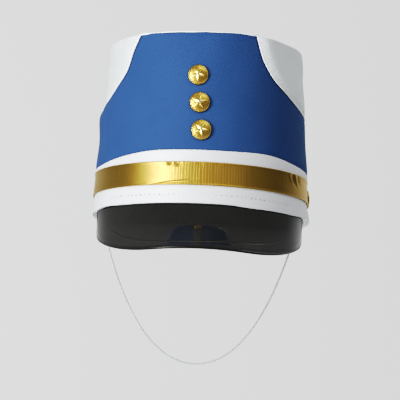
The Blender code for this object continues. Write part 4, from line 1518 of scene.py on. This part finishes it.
# The rounded edge takes painted shade as well.
for label, mask in (("ridge", section_mask(painted_highlight_mask, 0.0)), ("hollow", section_mask(painted_shade_mask, 0.9))):
    set_mask(peak_mesh, label, mask[:, ::-1])
dress(peak_mesh, black_plastic, "black_plastic", "peak")

# %% [markdown]
# ## Gilt buttons
# A uniform button is a thin shell pressed over a domed die, with a rolled rim. Its pattern here
# is a plain five-pointed star in a ring of leaves. Height is a rule of radius and angle, and the
# same rule gives the masks that keep the hollows tarnished and the ridges bright. The outer
# edge and the back get painted shade, a dark ring like the shadow round the button.

# %% Button rule
BUTTON_RADIUS = 0.0090
BUTTON_RIM = 0.0009
BUTTON_DOME = 0.0028
SIDE_BUTTON_DOME = 0.0018
STAR_REACH = 0.80
LEAF_RING = 0.80
LEAVES = 15


def button_relief(share, turn):
    """Raised work on a button's face, as a share of full height: star, leaves and rim."""
    fifth = math.radians(72.0)
    fold = np.abs((turn + fifth / 2.0) % fifth - fifth / 2.0)
    inner = 0.40 * STAR_REACH
    tip = np.array([STAR_REACH, 0.0])
    notch = np.array([inner * math.cos(fifth / 2.0), inner * math.sin(fifth / 2.0)])
    side = notch - tip
    across = (tip[0] - share * np.cos(fold)) * side[1] - (tip[1] - share * np.sin(fold)) * side[0]
    depth = across / np.linalg.norm(side)
    star = np.clip(depth / 0.20, 0.0, 1.0)
    leaf = math.radians(360.0 / LEAVES)
    bend = (turn + 1.6 * (share - LEAF_RING)) % leaf - leaf / 2.0
    leaves = np.clip(1.0 - (bend / (0.45 * leaf)) ** 2 - ((share - LEAF_RING) / 0.09) ** 2, 0.0, 1.0)
    vein = 1.0 - 0.35 * hump(bend, 0.0, 0.10 * leaf)
    rim = hump(share, 0.925, 0.024)
    return star, leaves * vein, rim


def make_button(name, azimuth, height, face, turned, dome_height=BUTTON_DOME, pressed=0.0):
    """One button: its dome, its rolled rim and its flat back."""
    share = np.concatenate([np.linspace(0.0, 0.86, 52), np.linspace(0.86, 1.0, 16)[1:]])
    turn = np.radians(np.arange(0.0, 360.0, 2.5))[:, None]
    star, leaves, rim = button_relief(share[None, :], turn + math.radians(turned))
    dome = dome_height * np.sqrt(np.clip(1.0 - share ** 2, 0.0, 1.0)) ** 1.15
    rise = 0.00070 * star + 0.00012 * leaves + 0.00018 * rim - 0.00012 * hump(share, 0.865, 0.028)
    up = BUTTON_RIM + dome + rise
    back = np.array([0.55, 0.18, 0.0, 0.0, 0.0])
    back_share = np.array([1.0, 0.985, 0.95, 0.5, 0.0])
    radius = BUTTON_RADIUS * np.concatenate([share, back_share])[None, :] + 0.0 * turn
    rise_all = np.concatenate([up, np.broadcast_to(BUTTON_RIM * back, (len(turn), len(back)))], axis=1)
    local = np.stack([radius * np.cos(turn), radius * np.sin(turn), rise_all], axis=-1)
    square = wall_outward(azimuth, height)
    base = Vector(wall_points(azimuth, height, face + GAP - pressed))
    stand = Matrix.Translation(base) @ square.to_track_quat("Z", "Y").to_matrix().to_4x4()
    lay = np.array(stand)
    points = local @ lay[:3, :3].T + lay[:3, 3]
    flat_map = np.concatenate([local[..., :2], local[:1, :, :2]])
    pad = len(back)
    # Painted shade: the outer edge and the back are darkened into a dark ring like the shadow round the
    # button; the ground between star and leaves keeps real tarnish.
    painted_shade_edge = smooth_step(share, 0.935, 0.965)[None, :]
    ridge = np.clip(0.65 * star + 0.2 * leaves + 0.8 * rim, 0.0, 1.0) * (1.0 - painted_shade_edge)
    ridge = np.pad(ridge, ((0, 0), (0, pad)))
    ground = np.clip(1.0 - 1.6 * star - 0.5 * leaves - 1.5 * rim, 0.0, 1.0)
    hollow = np.maximum(ground * smooth_step(share, 0.10, 0.25)[None, :], painted_shade_edge)
    hollow = np.pad(hollow, ((0, 0), (0, pad)), constant_values=1.0)
    return grid_mesh(
        name, points[:, ::-1], flat_map[:, ::-1], round_way=True, merge=1e-7,
        masks=(("ridge", ridge[:, ::-1]), ("hollow", hollow[:, ::-1])))


# %% Five buttons
FRONT_BUTTONS = {
    "gilt_button_lower": (-1.1, 0.0643, 8.0, "button_lower"),
    "gilt_button_middle": (-2.5, 0.0883, -12.0, "button_middle"),
    "gilt_button_upper": (-3.9, 0.1123, 17.0, "button_upper"),
}
for name, (azimuth, height, turned, solid) in FRONT_BUTTONS.items():
    dress(make_button(name, azimuth, height, PANEL_FACE, turned), gold_metal, "gold_metal", solid)
for name, side, pressed, solid in (("gilt_side_button_left", -1, 0.0011, "side_button_left"),
                                   ("gilt_side_button_right", 1, 0.0, "side_button_right")):
    button = make_button(
        name, side * SIDE_AZIMUTH, 0.0242, RIBBON_FACE, 5.0 * side, SIDE_BUTTON_DOME - pressed, pressed)
    dress(button, gold_metal, "gold_metal", solid)

# %% [markdown]
# ## Floor, light and the room
# A pale floor far below throws light back up. A tall soft key lamp stands in front on the left, a
# weaker fill lamp hangs higher on the right, a small one low on the left stands for light from
# the floor, and one lights the back. The room is bright behind the hat and dim above and at the
# sides, which is what the peak and the ribbon mirror.

# %% Floor
floor_build = bmesh.new()
bmesh.ops.create_circle(floor_build, cap_ends=True, radius=3.2, segments=128)
bmesh.ops.translate(floor_build, verts=floor_build.verts, vec=(0.0, 0.0, -0.75))
floor_mesh = bpy.data.meshes.new("pale_floor")
floor_build.to_mesh(floor_mesh)
floor_build.free()
floor = show("pale_floor", floor_mesh)
floor_finish, tree = new_finish("pale floor", (0.78, 0.78, 0.77, 1.0), Specular_IOR_Level=0.2, Roughness=0.8)
floor_tone = uneven(tree, (0.78, 0.79, 0.785, 1.0), (0.74, 0.745, 0.74, 1.0), 0.6, 0.5)
feed(tree.nodes["Principled BSDF"].inputs["Base Color"], floor_tone)
floor.data.materials.append(floor_finish)


# %% Lamps
def add_lamp(name, azimuth, elevation, distance, size, power):
    """A square soft lamp, aimed at the hat."""
    data = bpy.data.lights.new(name, "AREA")
    data.shape = "RECTANGLE"
    data.size, data.size_y = size
    data.energy = power
    lamp = bpy.data.objects.new(name, data)
    bpy.context.scene.collection.objects.link(lamp)
    side, up = math.radians(azimuth), math.radians(elevation)
    stand = Vector((math.sin(side) * math.cos(up), -math.cos(side) * math.cos(up), math.sin(up))) * distance
    lamp.location = Vector((0.0, 0.0, 0.06)) + stand
    lamp.rotation_euler = stand.to_track_quat("Z", "Y").to_euler()
    print("lamp:", name, power, "W")


add_lamp("key lamp", -42.3, 2.0, 1.8, (0.55, 1.2), 22.4)
add_lamp("fill lamp", 19.0, 46.0, 1.8, (1.2, 0.6), 5.3)
add_lamp("back lamp", 160.0, 40.0, 1.8, (1.0, 0.8), 3.8)
add_lamp("floor bounce", -32.0, -42.0, 1.4, (0.5, 0.45), 3.6)

# %% The room around the hat
world = bpy.data.worlds.new("studio room")
bpy.context.scene.world = world
world.use_nodes = True
tree = world.node_tree
tree.nodes.clear()
towards = add(tree, "ShaderNodeTexCoord").outputs["Generated"]
split = add(tree, "ShaderNodeSeparateXYZ", {"Vector": towards}).outputs
behind = remap(calc("MULTIPLY_ADD", split["X"], 0.16, split["Y"]), 0.48, 1.06, kind="SMOOTHSTEP")
leftwards = calc("MULTIPLY_ADD", split["X"], -1.0, -0.22)
sideways = remap(calc("MAXIMUM", split["X"], leftwards), 0.45, 0.95, kind="SMOOTHSTEP")
above = remap(split["Z"], 0.25, 0.60, kind="SMOOTHSTEP")
front_level = calc("MULTIPLY_ADD", sideways, -0.22, 0.30)
backdrop = remap(split["X"], -0.10, 0.10, 0.640, 0.575)
level = add(tree, "ShaderNodeMix", {"Factor": behind, 2: front_level, 3: backdrop}, data_type="FLOAT")
dimmed = add(tree, "ShaderNodeMix", {"Factor": above, 2: level.outputs[0], 3: 0.28}, data_type="FLOAT")
room_colour = blend(1.0, (0.995, 1.005, 1.0, 1.0), dimmed.outputs[0], kind="MULTIPLY")
light = add(tree, "ShaderNodeBackground", {"Color": room_colour, "Strength": 1.0})
add(tree, "ShaderNodeOutputWorld", {"Surface": light.outputs["Background"]})
print("room: bright behind, dim above and beside")

# %% [markdown]
# A camera bends tones: it deepens the darks and holds back the brightest whites. One curve on
# the finished picture does the same, so the finishes themselves keep their true colours.

# %% Tone curve
TONE_POINTS = (
    (0.03, 0.0155), (0.06, 0.048), (0.09, 0.095), (0.12, 0.15), (0.18, 0.27), (0.25, 0.40),
    (0.344, 0.51), (0.53, 0.66), (0.80, 0.83))
view = bpy.context.scene.view_settings
view.view_transform = "Standard"
view.use_curve_mapping = True
view.curve_mapping.extend = "EXTRAPOLATED"
tone_curve = view.curve_mapping.curves[3]
tone_curve.points[0].location = (0.0, 0.0)
tone_curve.points[1].location = (1.0, 0.93)
for scene_value, shown_value in TONE_POINTS:
    tone_curve.points.new(scene_value, shown_value)
view.curve_mapping.update()
print("tone curve:", len(tone_curve.points), "points")
